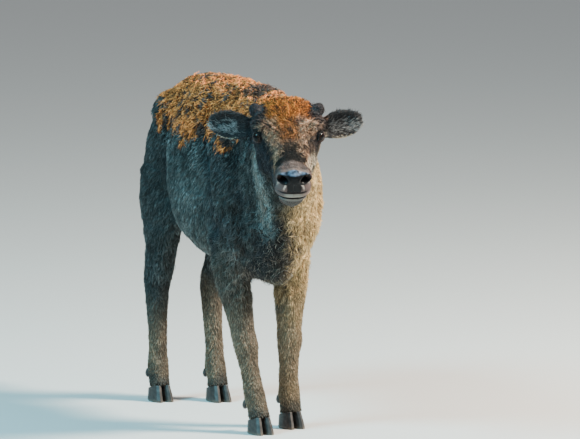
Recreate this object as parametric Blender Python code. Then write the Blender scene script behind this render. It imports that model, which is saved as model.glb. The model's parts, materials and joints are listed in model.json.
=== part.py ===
"""A young bison calf, about three months old, standing still: the solids of a life-size museum model.

Metres, +Z up. The calf faces -Y and its left side is +X. The origin is on the floor, under the middle
of the outline. Shapes are worked out on STANCE, with Y = 0 at the front feet, and moved at the end.
All sizes are over the coat: the solids reach out to the tips of the hair.
"""

import math

import bmesh
import bpy
import numpy as np
from mathutils import Matrix, Vector

# Driving dimensions
HUMP_TOP = 0.872  # height over the shoulder hump
BACK_TOP = 0.868  # height of the loin
CHEST_FLOOR = 0.384  # underside of the chest
SHOULDER_HALF = 0.138  # half the width over the shoulders
BARREL_HALF = 0.150  # half the width of the belly
REAR_STEP = 0.600  # how far the hind feet stand behind the front ones
HEAD_PITCH = math.radians(32)  # how far the nose points below the horizon
HEAD_TURN = math.radians(-16.6)  # the head looks to the calf's right
HEAD_AT = Vector((-0.0397, -0.2198, 0.8373))  # middle of the head, level with the poll
EYE_RADIUS = 0.0165
EYE_AT = (0.0725, 0.0930, -0.0150)  # out, forward, up in the head's own frame
CUT = 0.0004  # width of the thin cuts between one named part and the next

# Mesh sizes
BODY_VOXEL = 0.0085
HEAD_VOXEL = 0.0036
BODY_FACES = 2500
HEAD_FACES = 2250

COLOURS = {  # base colour, roughness
    "coat": ((0.090, 0.055, 0.035), 0.85),
    "muzzle": ((0.030, 0.026, 0.026), 0.45),
    "eye": ((0.012, 0.008, 0.006), 0.05),
    "horn": ((0.020, 0.018, 0.018), 0.40),
    "hoof": ((0.030, 0.026, 0.023), 0.45),
}


# Small tools ---------------------------------------------------------------------------------------


def material(kind):
    """The named material, made on first use."""
    found = bpy.data.materials.get(kind)
    if found:
        return found
    made = bpy.data.materials.new(kind)
    made.use_nodes = True
    colour, roughness = COLOURS[kind]
    shader = made.node_tree.nodes["Principled BSDF"]
    shader.inputs["Base Color"].default_value = (*colour, 1.0)
    shader.inputs["Roughness"].default_value = roughness
    shader.inputs["Metallic"].default_value = 0.0
    return made


def put(name, bm, kind=None):
    """Turns a bmesh into a named object. With no material it is a helper, kept out of the result."""
    mesh = bpy.data.meshes.new(name)
    bm.to_mesh(mesh)
    bm.free()
    made = bpy.data.objects.new(name, mesh)
    bpy.context.scene.collection.objects.link(made)
    if kind:
        mesh.materials.append(material(kind))
    else:
        made.hide_render = True
        made.display_type = "WIRE"
    return made


def drop(*objects):
    for done in objects:
        bpy.data.objects.remove(done)


def smooth_rows(rows, steps):
    """Rows of a table with steps - 1 more between each two, on a Catmull-Rom curve through them."""
    p = np.array(rows, float)
    p = np.vstack([2 * p[0] - p[1], p, 2 * p[-1] - p[-2]])
    made = []
    for i in range(1, len(p) - 2):
        for k in range(steps):
            t = k / steps
            a, b, c, d = p[i - 1 : i + 3]
            curve = 2 * b + (c - a) * t + (2 * a - 5 * b + 4 * c - d) * t**2
            made.append(0.5 * (curve + (3 * b - a - 3 * c + d) * t**3))
    return [*made, p[-2]]


def section(centre, side, up, half, rise, drop_, square=2.0, count=28):
    """A closed cross-section: a superellipse that reaches half to each side, rise up and drop_ down."""
    turn = np.linspace(0, 2 * math.pi, count, endpoint=False)
    across = np.sign(np.cos(turn)) * np.abs(np.cos(turn)) ** (2 / square) * half
    high = np.sign(np.sin(turn)) * np.abs(np.sin(turn)) ** (2 / square)
    high = np.where(high > 0, high * rise, high * drop_)
    return [Vector(centre) + Vector(side) * float(a) + Vector(up) * float(h) for a, h in zip(across, high)]


def loft(rings):
    """A closed shell through rings of equally many points, with a fan at each end."""
    bm = bmesh.new()
    loops = [[bm.verts.new(p) for p in ring] for ring in rings]
    count = len(loops[0])
    for low, high in zip(loops, loops[1:]):
        for i in range(count):
            j = (i + 1) % count
            bm.faces.new((low[i], low[j], high[j], high[i]))
    for ring in (loops[0], loops[-1]):
        middle = bm.verts.new(sum((v.co for v in ring), Vector()) / count)
        for i in range(count):
            bm.faces.new((ring[i], ring[(i + 1) % count], middle))
    bmesh.ops.recalc_face_normals(bm, faces=bm.faces)
    return bm


def ball(centre, radii, turn=None, detail=3):
    """An ellipsoid, turned by the matrix turn about its own centre."""
    bm = bmesh.new()
    bmesh.ops.create_icosphere(bm, subdivisions=detail, radius=1.0)
    matrix = Matrix.Translation(centre) @ (turn or Matrix()) @ Matrix.Diagonal((*radii, 1.0))
    bmesh.ops.transform(bm, matrix=matrix, verts=bm.verts)
    return bm


def merged(shells):
    """Several shells in one bmesh. They may overlap, because the remesh that follows makes one skin."""
    whole = bmesh.new()
    for shell in shells:
        mesh = bpy.data.meshes.new("shell")
        shell.to_mesh(mesh)
        shell.free()
        whole.from_mesh(mesh)
        bpy.data.meshes.remove(mesh)
    return whole


def evaluated(source):
    """A bmesh of the object with its modifiers applied."""
    bpy.context.view_layer.update()
    graph = bpy.context.evaluated_depsgraph_get()
    mesh = bpy.data.meshes.new_from_object(source.evaluated_get(graph))
    bm = bmesh.new()
    bm.from_mesh(mesh)
    bpy.data.meshes.remove(mesh)
    return bm


def fuse(shells, voxel, soften):
    """One closed skin over all the shells: voxel remesh, then soften so many times."""
    lump = put("lump", merged(shells))
    remesh = lump.modifiers.new("one_skin", "REMESH")
    remesh.mode = "VOXEL"
    remesh.voxel_size = voxel
    smooth = lump.modifiers.new("soften", "SMOOTH")
    smooth.factor = 0.5
    smooth.iterations = soften
    made = evaluated(lump)
    drop(lump)
    return made


def thinned(bm, faces):
    """The skin with about so many triangles, as a helper object."""
    fine = put("fine", bm)
    thin = fine.modifiers.new("fewer_faces", "DECIMATE")
    thin.ratio = faces / (2 * len(fine.data.polygons))
    coarse = evaluated(fine)
    drop(fine)
    bmesh.ops.triangulate(coarse, faces=coarse.faces)
    return put("skin", coarse)


def region(planes, grow=0.0, reach=2.0):
    """The space behind every plane, each a point and an outward normal: a block cut down plane by plane."""
    bm = bmesh.new()
    bmesh.ops.create_cube(bm, size=2 * reach)
    for point, normal in planes:
        away = Vector(normal).normalized()
        geometry = [*bm.verts, *bm.edges, *bm.faces]
        at = Vector(point) + away * grow
        bmesh.ops.bisect_plane(bm, geom=geometry, plane_co=at, plane_no=away, clear_outer=True)
        bmesh.ops.holes_fill(bm, edges=[e for e in bm.edges if e.is_boundary])
    bmesh.ops.recalc_face_normals(bm, faces=bm.faces)
    return bm


def boolean(target, tool, operation):
    """A bmesh of target cut by, or limited to, the helper object tool."""
    step = target.modifiers.new("cut", "BOOLEAN")
    step.operation = operation
    step.object = tool
    made = evaluated(target)
    target.modifiers.remove(step)
    return made


def inside(skin, planes, name, kind="coat"):
    """The part of the skin behind the planes, as a node of its own."""
    tool = put("keep", region(planes, grow=-CUT / 2))
    made = put(name, boolean(skin, tool, "INTERSECT"), kind)
    drop(tool)
    return made


def carve(target, shell):
    """Takes the shell's space out of the target, in place."""
    tool = put("away", shell)
    kept = boolean(target, tool, "DIFFERENCE")
    kept.to_mesh(target.data)
    kept.free()
    drop(tool)


def outside(skin, regions, name, kind="coat"):
    """The part of the skin in none of the regions, as a node of its own."""
    made = put(name, bmesh.new(), kind)
    bm = bmesh.new()
    bm.from_mesh(skin.data)
    bm.to_mesh(made.data)
    bm.free()
    for planes in regions:
        carve(made, region(planes, grow=CUT / 2))
    return made


# Trunk, neck and tail ------------------------------------------------------------------------------

TRUNK = [  # behind the front feet, top, underside, half width, height of the widest part
    (-0.150, 0.625, 0.500, 0.030, 0.560),
    (-0.125, 0.715, 0.440, 0.074, 0.570),
    (-0.080, 0.815, 0.400, 0.103, 0.580),
    (-0.020, HUMP_TOP - 0.006, CHEST_FLOOR - 0.006, 0.122, 0.590),
    (0.060, HUMP_TOP - 0.001, CHEST_FLOOR, 0.125, 0.590),
    (0.130, HUMP_TOP, CHEST_FLOOR + 0.006, 0.130, 0.590),
    (0.210, BACK_TOP + 0.007, CHEST_FLOOR + 0.012, 0.145, 0.585),
    (0.290, BACK_TOP + 0.005, CHEST_FLOOR + 0.020, BARREL_HALF, 0.585),
    (0.360, BACK_TOP + 0.002, CHEST_FLOOR + 0.032, 0.134, 0.600),
    (0.420, BACK_TOP - 0.003, CHEST_FLOOR + 0.052, 0.115, 0.620),
    (0.480, BACK_TOP - 0.012, CHEST_FLOOR + 0.082, 0.110, 0.645),
    (0.550, BACK_TOP - 0.036, CHEST_FLOOR + 0.116, 0.105, 0.645),
    (0.610, BACK_TOP - 0.078, CHEST_FLOOR + 0.146, 0.091, 0.645),
    (0.655, BACK_TOP - 0.135, CHEST_FLOOR + 0.178, 0.066, 0.640),
    (0.682, BACK_TOP - 0.195, CHEST_FLOOR + 0.208, 0.030, 0.625),
]
NECK = [  # top Y, top Z, bottom Y, bottom Z, half width, sideways shift towards the head
    (0.070, 0.866, 0.000, 0.430, 0.114, 0.000),
    (-0.015, 0.864, -0.110, 0.470, 0.109, -0.004),
    (-0.085, 0.859, -0.155, 0.530, 0.096, -0.013),
    (-0.150, 0.852, -0.188, 0.585, 0.086, -0.025),
    (-0.205, 0.845, -0.215, 0.625, 0.078, -0.036),
]
TAIL = [  # Y, Z, radius
    (0.600, 0.752, 0.028),
    (0.650, 0.757, 0.024),
    (0.690, 0.737, 0.020),
    (0.712, 0.690, 0.0165),
    (0.719, 0.630, 0.0150),
    (0.722, 0.560, 0.0145),
    (0.723, 0.510, 0.0190),
    (0.722, 0.460, 0.0210),
    (0.720, 0.410, 0.0150),
    (0.719, 0.372, 0.0050),
]


def trunk_shells():
    """The trunk from brisket to buttock, with the shoulder and thigh muscles that stand out on it."""
    rings = []
    for y, top, bottom, half, widest in smooth_rows(TRUNK, 2):
        rise, fall = top - widest, widest - bottom
        rings.append(section((0, y, widest), (1, 0, 0), (0, 0, 1), half, rise, fall, 2.05))
    shells = [loft(rings)]
    for side in (1, -1):
        lean = Matrix.Rotation(math.radians(-12), 4, "X")
        shells.append(ball((side * (SHOULDER_HALF - 0.050), 0.010, 0.615), (0.056, 0.086, 0.165), lean))
        shells.append(ball((side * 0.060, -0.080, 0.530), (0.040, 0.050, 0.075)))
        shells.append(ball((side * 0.064, 0.535, 0.615), (0.052, 0.105, 0.145)))
        shells.append(ball((side * 0.053, 0.500, 0.758), (0.057, 0.106, 0.060)))
    # the fringe that hangs under the brisket, between the forelegs
    shells.append(ball((0, -0.050, 0.414), (0.042, 0.070, 0.041)))
    return shells


def neck_shell(rows):
    rings = []
    for top_y, top_z, low_y, low_z, half, shift in smooth_rows(rows, 3):
        top, low = Vector((shift, top_y, top_z)), Vector((shift, low_y, low_z))
        up = (top - low).normalized()
        tall = (top - low).length
        rings.append(section(low + up * tall * 0.48, (1, 0, 0), up, half, tall * 0.52, tall * 0.48, 2.05))
    return loft(rings)


def tail_shell():
    rows = smooth_rows(TAIL, 2)
    rings = []
    for k, (y, z, radius) in enumerate(rows):
        before, after = rows[max(k - 1, 0)], rows[min(k + 1, len(rows) - 1)]
        across = Vector((1, 0, 0))
        up = Vector((0, after[0] - before[0], after[1] - before[1])).normalized().cross(across)
        rings.append(section((0, y, z), across, up, radius, radius, radius, 2.0, 14))
    return loft(rings)


# Legs ----------------------------------------------------------------------------------------------

# Rows from the top down: sideways, Y, height, half width, half depth.
FORELEG_LEFT = [
    (0.076, 0.030, 0.490, 0.048, 0.085),
    (0.072, 0.026, 0.410, 0.044, 0.066),
    (0.068, 0.020, 0.350, 0.040, 0.051),
    (0.064, 0.014, 0.290, 0.034, 0.040),
    (0.062, 0.010, 0.252, 0.0315, 0.034),
    (0.061, 0.004, 0.222, 0.0335, 0.0345),
    (0.060, 0.008, 0.185, 0.0275, 0.0285),
    (0.060, 0.008, 0.140, 0.0250, 0.0250),
    (0.060, 0.007, 0.108, 0.0265, 0.0270),
    (0.060, 0.006, 0.086, 0.0290, 0.0305),
    (0.060, -0.001, 0.060, 0.0270, 0.0275),
    (0.060, -0.008, 0.030, 0.0305, 0.0330),
]
FORELEG_RIGHT = [
    (-0.082, 0.055, 0.490, 0.048, 0.085),
    (-0.082, 0.046, 0.410, 0.045, 0.066),
    (-0.078, 0.030, 0.350, 0.040, 0.051),
    (-0.072, 0.012, 0.290, 0.034, 0.040),
    (-0.069, 0.000, 0.252, 0.0315, 0.034),
    (-0.066, -0.012, 0.222, 0.0335, 0.0345),
    (-0.063, -0.020, 0.185, 0.0275, 0.0285),
    (-0.059, -0.034, 0.140, 0.0250, 0.0250),
    (-0.057, -0.044, 0.108, 0.0265, 0.0270),
    (-0.055, -0.052, 0.086, 0.0290, 0.0305),
    (-0.053, -0.064, 0.060, 0.0270, 0.0275),
    (-0.051, -0.074, 0.030, 0.0305, 0.0330),
]
HINDLEG_RIGHT = [
    (-0.072, 0.539, 0.610, 0.049, 0.108),
    (-0.079, 0.532, 0.530, 0.050, 0.105),
    (-0.082, 0.526, 0.465, 0.044, 0.092),
    (-0.083, 0.530, 0.405, 0.036, 0.066),
    (-0.083, 0.546, 0.355, 0.0345, 0.055),
    (-0.083, 0.561, 0.315, 0.0325, 0.049),
    (-0.082, 0.569, 0.272, 0.0300, 0.036),
    (-0.080, 0.571, 0.215, 0.0265, 0.0290),
    (-0.078, 0.572, 0.150, 0.0245, 0.0260),
    (-0.078, 0.572, 0.108, 0.0260, 0.0275),
    (-0.078, 0.572, 0.086, 0.0285, 0.0305),
    (-0.078, 0.564, 0.060, 0.0265, 0.0275),
    (-0.078, 0.556, 0.030, 0.0300, 0.0330),
]
HINDLEG_LEFT = [
    (0.072, 0.517, 0.610, 0.049, 0.108),
    (0.074, 0.495, 0.530, 0.050, 0.104),
    (0.071, 0.480, 0.455, 0.043, 0.086),
    (0.066, 0.485, 0.395, 0.035, 0.064),
    (0.063, 0.513, 0.345, 0.0330, 0.054),
    (0.062, 0.541, 0.303, 0.0310, 0.048),
    (0.061, 0.543, 0.262, 0.0275, 0.035),
    (0.060, 0.536, 0.210, 0.0250, 0.0285),
    (0.060, 0.526, 0.150, 0.0245, 0.0260),
    (0.060, 0.520, 0.108, 0.0260, 0.0275),
    (0.060, 0.516, 0.086, 0.0285, 0.0305),
    (0.060, 0.506, 0.060, 0.0265, 0.0275),
    (0.060, 0.496, 0.030, 0.0300, 0.0330),
]
LEGS = {
    "foreleg_left": FORELEG_LEFT,
    "foreleg_right": FORELEG_RIGHT,
    "hindleg_left": HINDLEG_LEFT,
    "hindleg_right": HINDLEG_RIGHT,
}
CORONET_FRONT = 0.046  # height of the hoof's top edge at the toe, and at the heel
CORONET_HEEL = 0.030
CLEFT = 0.003  # gap between the two claws of a foot


def leg_shell(rows):
    rings = []
    for x, y, z, half, deep in smooth_rows(rows, 2):
        rings.append(section((x, y, z), (1, 0, 0), (0, 1, 0), half, deep, deep, 2.1, 20))
    return loft(rings)


def foot_middle(rows):
    """Where a foot stands: the last row of its leg, on the floor."""
    return Vector((rows[-1][0], rows[-1][1], 0.0))


def coronet_plane(rows, gap):
    """The slanting cut between pastern and hoof, moved up by gap."""
    foot = foot_middle(rows)
    slope = (CORONET_HEEL - CORONET_FRONT) / 0.066
    at = foot + Vector((0, 0, (CORONET_FRONT + CORONET_HEEL) / 2 + gap))
    return at, Vector((0, slope, -1.0))


def claw(rows, side):
    """Half of a cloven hoof: a blunt wedge, flat below, whose top follows the coronet."""
    foot = foot_middle(rows)
    half, toe, heel = 0.0305, 0.044, 0.032
    rings = []
    for share, grow in ((0.0, 1.00), (0.10, 1.015), (0.55, 0.93), (1.0, 0.84)):
        ring = []
        for turn in np.linspace(0, 2 * math.pi, 12, endpoint=False):
            across = half / 2 * (1 + math.cos(turn)) * grow
            across = max(across, CLEFT / 2)
            along = -math.sin(turn)
            along = along * (toe if along < 0 else heel) * (1 - 0.10 * math.cos(turn)) * grow
            # the toe wall leans back as it rises
            along += 0.012 * share
            rise = CORONET_FRONT + (CORONET_HEEL - CORONET_FRONT) * (along + 0.033) / 0.066
            ring.append(foot + Vector((side * across, along, share * (rise - CUT))))
        rings.append(ring)
    return loft(rings)


def dewclaw(rows, side, grow=0.0):
    """A small horny knob behind the fetlock, pointing down and back."""
    fetlock = rows[-3]
    centre = Vector((fetlock[0] + side * 0.0165, fetlock[1] + fetlock[4] - 0.006, fetlock[2] - 0.016))
    along = Vector((0, 0.5, -0.87))
    rings = []
    for step, radius in ((-0.013, 0.0040), (-0.007, 0.0085), (0.004, 0.0090), (0.013, 0.0045)):
        reach = centre + along * (step * (1 + grow / 0.013))
        across = Vector((1, 0, 0))
        size = radius + grow
        rings.append(section(reach, across, across.cross(along), size, size, size, 2.0, 8))
    return loft(rings)


# Head ----------------------------------------------------------------------------------------------

TO_STANCE = (
    Matrix.Translation(HEAD_AT)
    @ Matrix.Rotation(HEAD_TURN, 4, "Z")
    @ Matrix.Rotation(HEAD_PITCH, 4, "X")
)
# In the head's own frame: forward of the poll, top, underside, half width, height of the widest part.
HEAD = [
    (-0.055, -0.010, -0.110, 0.050, -0.052),
    (-0.030, 0.015, -0.135, 0.070, -0.046),
    (0.000, 0.034, -0.150, 0.081, -0.035),
    (0.030, 0.034, -0.156, 0.087, -0.025),
    (0.060, 0.025, -0.155, 0.089, -0.020),
    (0.090, 0.014, -0.150, 0.085, -0.024),
    (0.120, 0.006, -0.142, 0.073, -0.036),
    (0.148, 0.003, -0.134, 0.060, -0.050),
    (0.175, 0.002, -0.127, 0.050, -0.056),
    (0.202, 0.004, -0.122, 0.0445, -0.050),
    (0.228, 0.007, -0.119, 0.0430, -0.046),
    (0.250, 0.007, -0.112, 0.0410, -0.043),
    (0.266, -0.004, -0.098, 0.0350, -0.042),
    (0.275, -0.022, -0.075, 0.0230, -0.042),
]
MOUTH_CORNER = (0.150, -0.0970)  # forward, up: deep in the cheek, where the jaw's own part starts
MOUTH_UPPER = (0.280, -0.0700)  # where the upper lip's edge would meet the nose's front
MOUTH_LOWER = (0.280, -0.0725)
NOSTRIL_AT = (0.0285, 0.2640, -0.0145)  # out, forward, up


def head_point(out, forward, up):
    """A point given in the head's own frame, on the stance."""
    return TO_STANCE @ Vector((out, -forward, up))


def head_way(out, forward, up):
    return TO_STANCE.to_3x3() @ Vector((out, -forward, up))


def in_head(bm):
    """Moves a shell made in the head's own frame onto the stance."""
    bmesh.ops.transform(bm, matrix=TO_STANCE, verts=bm.verts)
    return bm


def skull_shell(rows):
    """The head from nape to lips. Its lower half narrows towards the jaw."""
    rings = []
    for forward, top, low, half, widest in smooth_rows(rows, 2):
        rise, fall = top - widest, widest - low
        ring = section((0, -forward, widest), (1, 0, 0), (0, 0, 1), half, rise, fall, 2.35, 32)
        for point in ring:
            sunk = max(0.0, (widest - point.z) / (widest - low))
            point.x *= 1 - 0.30 * sunk**1.5
        rings.append(ring)
    return in_head(loft(rings))


def brow_shells():
    """What rounds the skull: brow ridges, cheek muscles and the mop of hair on the poll."""
    shells = []
    for side in (1, -1):
        shells.append(in_head(ball((side * 0.067, -0.068, 0.004), (0.026, 0.036, 0.018))))
        shells.append(in_head(ball((side * 0.046, -0.078, -0.085), (0.030, 0.060, 0.048))))
    shells.append(in_head(ball((0, -0.014, 0.013), (0.060, 0.036, 0.022))))
    return shells


def nose_shells():
    """The pad of the nose with its two wings, the lips and the chin."""
    shells = []
    for side in (1, -1):
        shells.append(in_head(ball((side * 0.0265, -0.2450, -0.0145), (0.0195, 0.0240, 0.0205))))
        shells.append(in_head(ball((side * 0.0255, -0.2380, -0.0520), (0.0220, 0.0290, 0.0210))))
    shells.append(in_head(ball((0, -0.2520, -0.0180), (0.0300, 0.0250, 0.0270))))
    shells.append(in_head(ball((0, -0.2300, -0.0960), (0.0320, 0.0255, 0.0220))))
    return shells


HORN_AT = (0.0720, 0.0200, 0.0045)
HORN_WAY = (0.62, -0.10, 0.78)


def horn_shell(side):
    """A horn bud in its tuft of hair: a short blunt cone, up and out of the corner of the head."""
    base, way = Vector(HORN_AT), Vector(HORN_WAY).normalized()
    rings = []
    profile = ((-0.020, 0.0195), (0.0, 0.0190), (0.010, 0.0170), (0.019, 0.0120), (0.024, 0.0050))
    for along, radius in profile:
        centre = base + way * along
        across = way.cross(Vector((0, 0, 1))).normalized()
        ring = section(centre, across, across.cross(way), radius, radius, radius, 2.0, 16)
        rings.append([head_point(side * p.x, p.y, p.z) for p in ring])
    return loft(rings)


EAR_BASE = (0.0700, 0.0300, -0.0425)
EAR_TIP = (0.1910, 0.0100, -0.0290)
EAR_HALF = 0.0350
EAR_WALL = 0.0085
EAR_ROWS, EAR_COLUMNS = 14, 11


def ear_shell(side):
    """A cupped leaf, open to the front, whose edges roll forward and close to a tube at its root."""
    root, tip = Vector(EAR_BASE), Vector(EAR_TIP)
    along = (tip - root).normalized()
    front = Vector((0.05, 0.85, 0.52))
    front = (front - along * front.dot(along)).normalized()
    across = along.cross(front)
    bm = bmesh.new()
    grid = []
    for i in range(EAR_ROWS):
        a = i / (EAR_ROWS - 1)
        half = EAR_HALF * (0.46 + 0.54 * math.sin(math.pi * min(a / 0.56, 1.0) / 2) ** 1.5)
        if a > 0.56:
            half = EAR_HALF * math.sqrt(max(0.0, 1 - ((a - 0.56) / 0.455) ** 1.9))
        roll = math.radians(100 - 58 * a)  # how far each edge turns forward
        spine = root.lerp(tip, a) - front * 0.006 * math.sin(math.pi * a)
        row = []
        for j in range(EAR_COLUMNS):
            b = 2 * j / (EAR_COLUMNS - 1) - 1
            bend = b * roll
            reach = half / max(math.sin(min(roll, math.pi / 2)), 0.2)
            point = spine + across * reach * math.sin(bend) + front * reach * (1 - math.cos(bend)) * 0.62
            row.append(bm.verts.new(head_point(side * point.x, point.y, point.z)))
        grid.append(row)
    for low, high in zip(grid, grid[1:]):
        for j in range(EAR_COLUMNS - 1):
            bm.faces.new((low[j], low[j + 1], high[j + 1], high[j]))
    leaf = put("leaf", bm)
    wall = leaf.modifiers.new("wall", "SOLIDIFY")
    wall.thickness = EAR_WALL
    wall.offset = 0.0
    made = evaluated(leaf)
    drop(leaf)
    bmesh.ops.recalc_face_normals(made, faces=made.faces)
    return made


def nostril_shell(side):
    """The hollow of one nostril: it opens wide to the side and narrows to a comma towards the middle."""
    slant = Matrix.Rotation(side * math.radians(24), 4, "Y")
    out, forward, up = NOSTRIL_AT
    return in_head(ball((side * out, -forward, up), (0.0105, 0.0130, 0.0058), slant, 2))


def mouth_planes(line):
    """Everything below a lip's edge, which runs from the mouth's corner to the front."""
    corner_forward, corner_up = MOUTH_CORNER
    front_forward, front_up = line
    rise = (front_up - corner_up) / (front_forward - corner_forward)
    return (head_point(0, corner_forward, corner_up), head_way(0, -rise, 1.0))


# How the skin is divided ---------------------------------------------------------------------------


def side_planes(side, y_low, y_high, foot, slope, level):
    """The space of one leg: on its own side, between two levels along the body, under a slanting roof."""
    return [
        ((0.022 * side, 0, 0), (-side, 0, 0)),
        ((0, y_low, 0), (0, -1, 0)),
        ((0, y_high, 0), (0, 1, 0)),
        ((0, 0, level), (-slope * side, 0, 1)),
        foot,
    ]


def leg_regions():
    spaces = {}
    for name, rows in LEGS.items():
        side = 1 if name.endswith("left") else -1
        foot = coronet_plane(rows, CUT)
        if name.startswith("fore"):
            spaces[name] = side_planes(side, -0.300, 0.165, foot, 0.85, 0.352)
        else:
            spaces[name] = side_planes(side, 0.425, 0.690, foot, 1.90, 0.425)
    return spaces


NECK_PLANE = ((0, -0.070, 0.690), (0, -0.955, 0.300))  # a point on the cut, and the way towards the head
NAPE_PLANE = ((0, -0.198, 0.760), (-0.16, -1.0, 0.03))
TAIL_PLANE = ((0, 0.698, 0.760), (0, 1.0, 0))


def flipped(plane):
    point, normal = plane
    return (point, -Vector(normal))


def build():
    for old in list(bpy.data.objects):
        bpy.data.objects.remove(old)

    soft = fuse([*trunk_shells(), neck_shell(NECK), skull_shell(HEAD[:5])], BODY_VOXEL, 14)
    thin = [leg_shell(rows) for rows in LEGS.values()]
    body = thinned(fuse([soft, tail_shell(), *thin], BODY_VOXEL, 5), BODY_FACES)

    soft = fuse([skull_shell(HEAD), *brow_shells(), neck_shell(NECK[-2:])], HEAD_VOXEL, 24)
    thin = nose_shells()
    for side in (1, -1):
        thin += [horn_shell(side), ear_shell(side)]
    head = thinned(fuse([soft, *thin], HEAD_VOXEL, 4), HEAD_FACES)

    nape = NAPE_PLANE
    spaces = leg_regions()
    tail_space = [flipped(TAIL_PLANE)]
    parts = []
    for name, planes in spaces.items():
        parts.append(inside(body, planes, name))
    parts.append(inside(body, [flipped(NECK_PLANE), nape], "neck"))
    parts.append(inside(body, tail_space, "tail"))
    others = [*(planes[:-1] for planes in spaces.values()), [flipped(NECK_PLANE)], tail_space]
    parts.append(outside(body, others, "trunk"))

    parts += head_nodes(head, nape)
    parts += small_nodes({part.name: part for part in parts})
    drop(body, head)
    centre_on_origin(parts)
    for part in parts:
        part.data.shade_smooth()


def head_nodes(head, nape):
    """Skull, muzzle, jaw, ears and horn buds, cut from the head's skin."""
    face = flipped(nape)
    lip_upper, lip_lower = mouth_planes(MOUTH_UPPER), mouth_planes(MOUTH_LOWER)
    muzzle_cut = (head_point(0, 0.236, 0), head_way(0, -1.0, 0))
    spaces = {}
    for name, side in (("left", 1), ("right", -1)):
        root = (head_point(side * 0.0960, 0.010, -0.010), head_way(-side, 0.0, 0.0))
        above = (head_point(side * 0.0935, 0, -0.006), head_way(-side * 0.75, 0, 0.66))
        spaces["ear_" + name] = [
            root,
            (head_point(0, -0.060, 0), head_way(0, -1.0, 0)),
            (head_point(0, 0, -0.085), head_way(0, 0, -1.0)),
            above,
        ]
        base = Vector(HORN_AT) + Vector(HORN_WAY) * 0.004
        way = Vector(HORN_WAY)
        spaces["horn_" + name] = [
            (head_point(side * base.x, base.y, base.z), head_way(-side * way.x, -way.y, -way.z)),
            (head_point(side * 0.058, 0, 0), head_way(-side, 0, 0)),
            (head_point(side * 0.094, 0, 0), head_way(side, 0, 0)),
            (head_point(0, 0.045, 0), head_way(0, 1.0, 0)),
            flipped(above),
        ]
    jaw_back = (head_point(0, MOUTH_CORNER[0], 0), head_way(0, -1.0, 0))
    made = []
    for name, planes in spaces.items():
        made.append(inside(head, planes, name, "horn" if name.startswith("horn") else "coat"))
    made.append(inside(head, [jaw_back, lip_lower], "jaw"))
    made.append(inside(head, [muzzle_cut, flipped(lip_upper)], "muzzle", "muzzle"))
    skull = outside(head, [*spaces.values(), [flipped(face)], [jaw_back, lip_upper], [muzzle_cut]], "head")
    made.append(skull)
    return made


def small_nodes(parts):
    """Eyes, claws and dewclaws, each let into the part that carries it."""
    made = []
    for name, side in (("left", 1), ("right", -1)):
        out, forward, up = EYE_AT
        centre = head_point(side * out, forward, up)
        carve(parts["head"], ball(centre, (EYE_RADIUS + CUT,) * 3))
        made.append(put("eye_" + name, ball(centre, (EYE_RADIUS,) * 3), "eye"))
        carve(parts["muzzle"], nostril_shell(side))
    for leg, rows in LEGS.items():
        out = 1 if leg.endswith("left") else -1
        for side, place in ((out, "outer"), (-out, "inner")):
            made.append(put(f"hoof_{leg}_{place}", claw(rows, side), "hoof"))
            made.append(put(f"dewclaw_{leg}_{place}", dewclaw(rows, side), "hoof"))
            carve(parts[leg], dewclaw(rows, side, CUT))
    return made


def centre_on_origin(parts):
    """Moves every mesh so that the outline's middle stands over the origin."""
    corners = np.array([v.co for part in parts for v in part.data.vertices])
    middle = (corners.min(axis=0) + corners.max(axis=0)) / 2
    shift = Matrix.Translation((-middle[0], -middle[1], 0.0))
    for part in parts:
        part.data.transform(shift)


build()
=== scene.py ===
import json
import math
import time

import bmesh
import bpy
import numpy as np
from mathutils import Matrix, Vector

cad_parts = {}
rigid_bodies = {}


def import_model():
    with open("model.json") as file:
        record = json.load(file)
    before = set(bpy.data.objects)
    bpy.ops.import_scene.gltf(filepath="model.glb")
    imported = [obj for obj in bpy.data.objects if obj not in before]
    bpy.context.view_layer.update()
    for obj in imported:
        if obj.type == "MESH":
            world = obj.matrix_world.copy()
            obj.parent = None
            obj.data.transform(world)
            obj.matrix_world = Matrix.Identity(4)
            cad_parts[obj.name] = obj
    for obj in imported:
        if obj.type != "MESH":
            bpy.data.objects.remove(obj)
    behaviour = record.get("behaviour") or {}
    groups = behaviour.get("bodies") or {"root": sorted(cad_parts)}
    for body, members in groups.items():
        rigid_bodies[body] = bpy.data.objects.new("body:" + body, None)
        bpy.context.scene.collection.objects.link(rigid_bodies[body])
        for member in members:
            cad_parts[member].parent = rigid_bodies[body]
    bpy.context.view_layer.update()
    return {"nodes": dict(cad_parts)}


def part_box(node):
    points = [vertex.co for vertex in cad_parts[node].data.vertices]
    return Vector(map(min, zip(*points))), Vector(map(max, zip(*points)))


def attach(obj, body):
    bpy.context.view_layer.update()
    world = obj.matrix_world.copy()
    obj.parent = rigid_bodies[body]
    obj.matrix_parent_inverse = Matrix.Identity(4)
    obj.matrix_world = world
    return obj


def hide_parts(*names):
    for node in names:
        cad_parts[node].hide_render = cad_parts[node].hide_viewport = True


for item in list(bpy.data.objects):
    bpy.data.objects.remove(item)
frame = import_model()
startTime = time.time()

fleshNodes = ["trunk", "neck", "head", "muzzle", "jaw", "tail", "ear_left", "ear_right",
              "foreleg_left", "foreleg_right", "hindleg_left", "hindleg_right"]
hoofNodes = [name for name in frame["nodes"] if name.startswith(("hoof_", "dewclaw_"))]
sides = (("left", 1), ("right", -1))
bodyMiddle = 0.0375


def stage(words):
    print("%6.1f s  %s" % (time.time() - startTime, words), flush=True)


headSettings = {"turn": -16.6, "pitch": 32.0, "eyeForward": 0.093, "eyeUp": -0.015}


def boxMiddle(node):
    low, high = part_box(node)
    return (np.array(low) + np.array(high)) / 2


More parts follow.
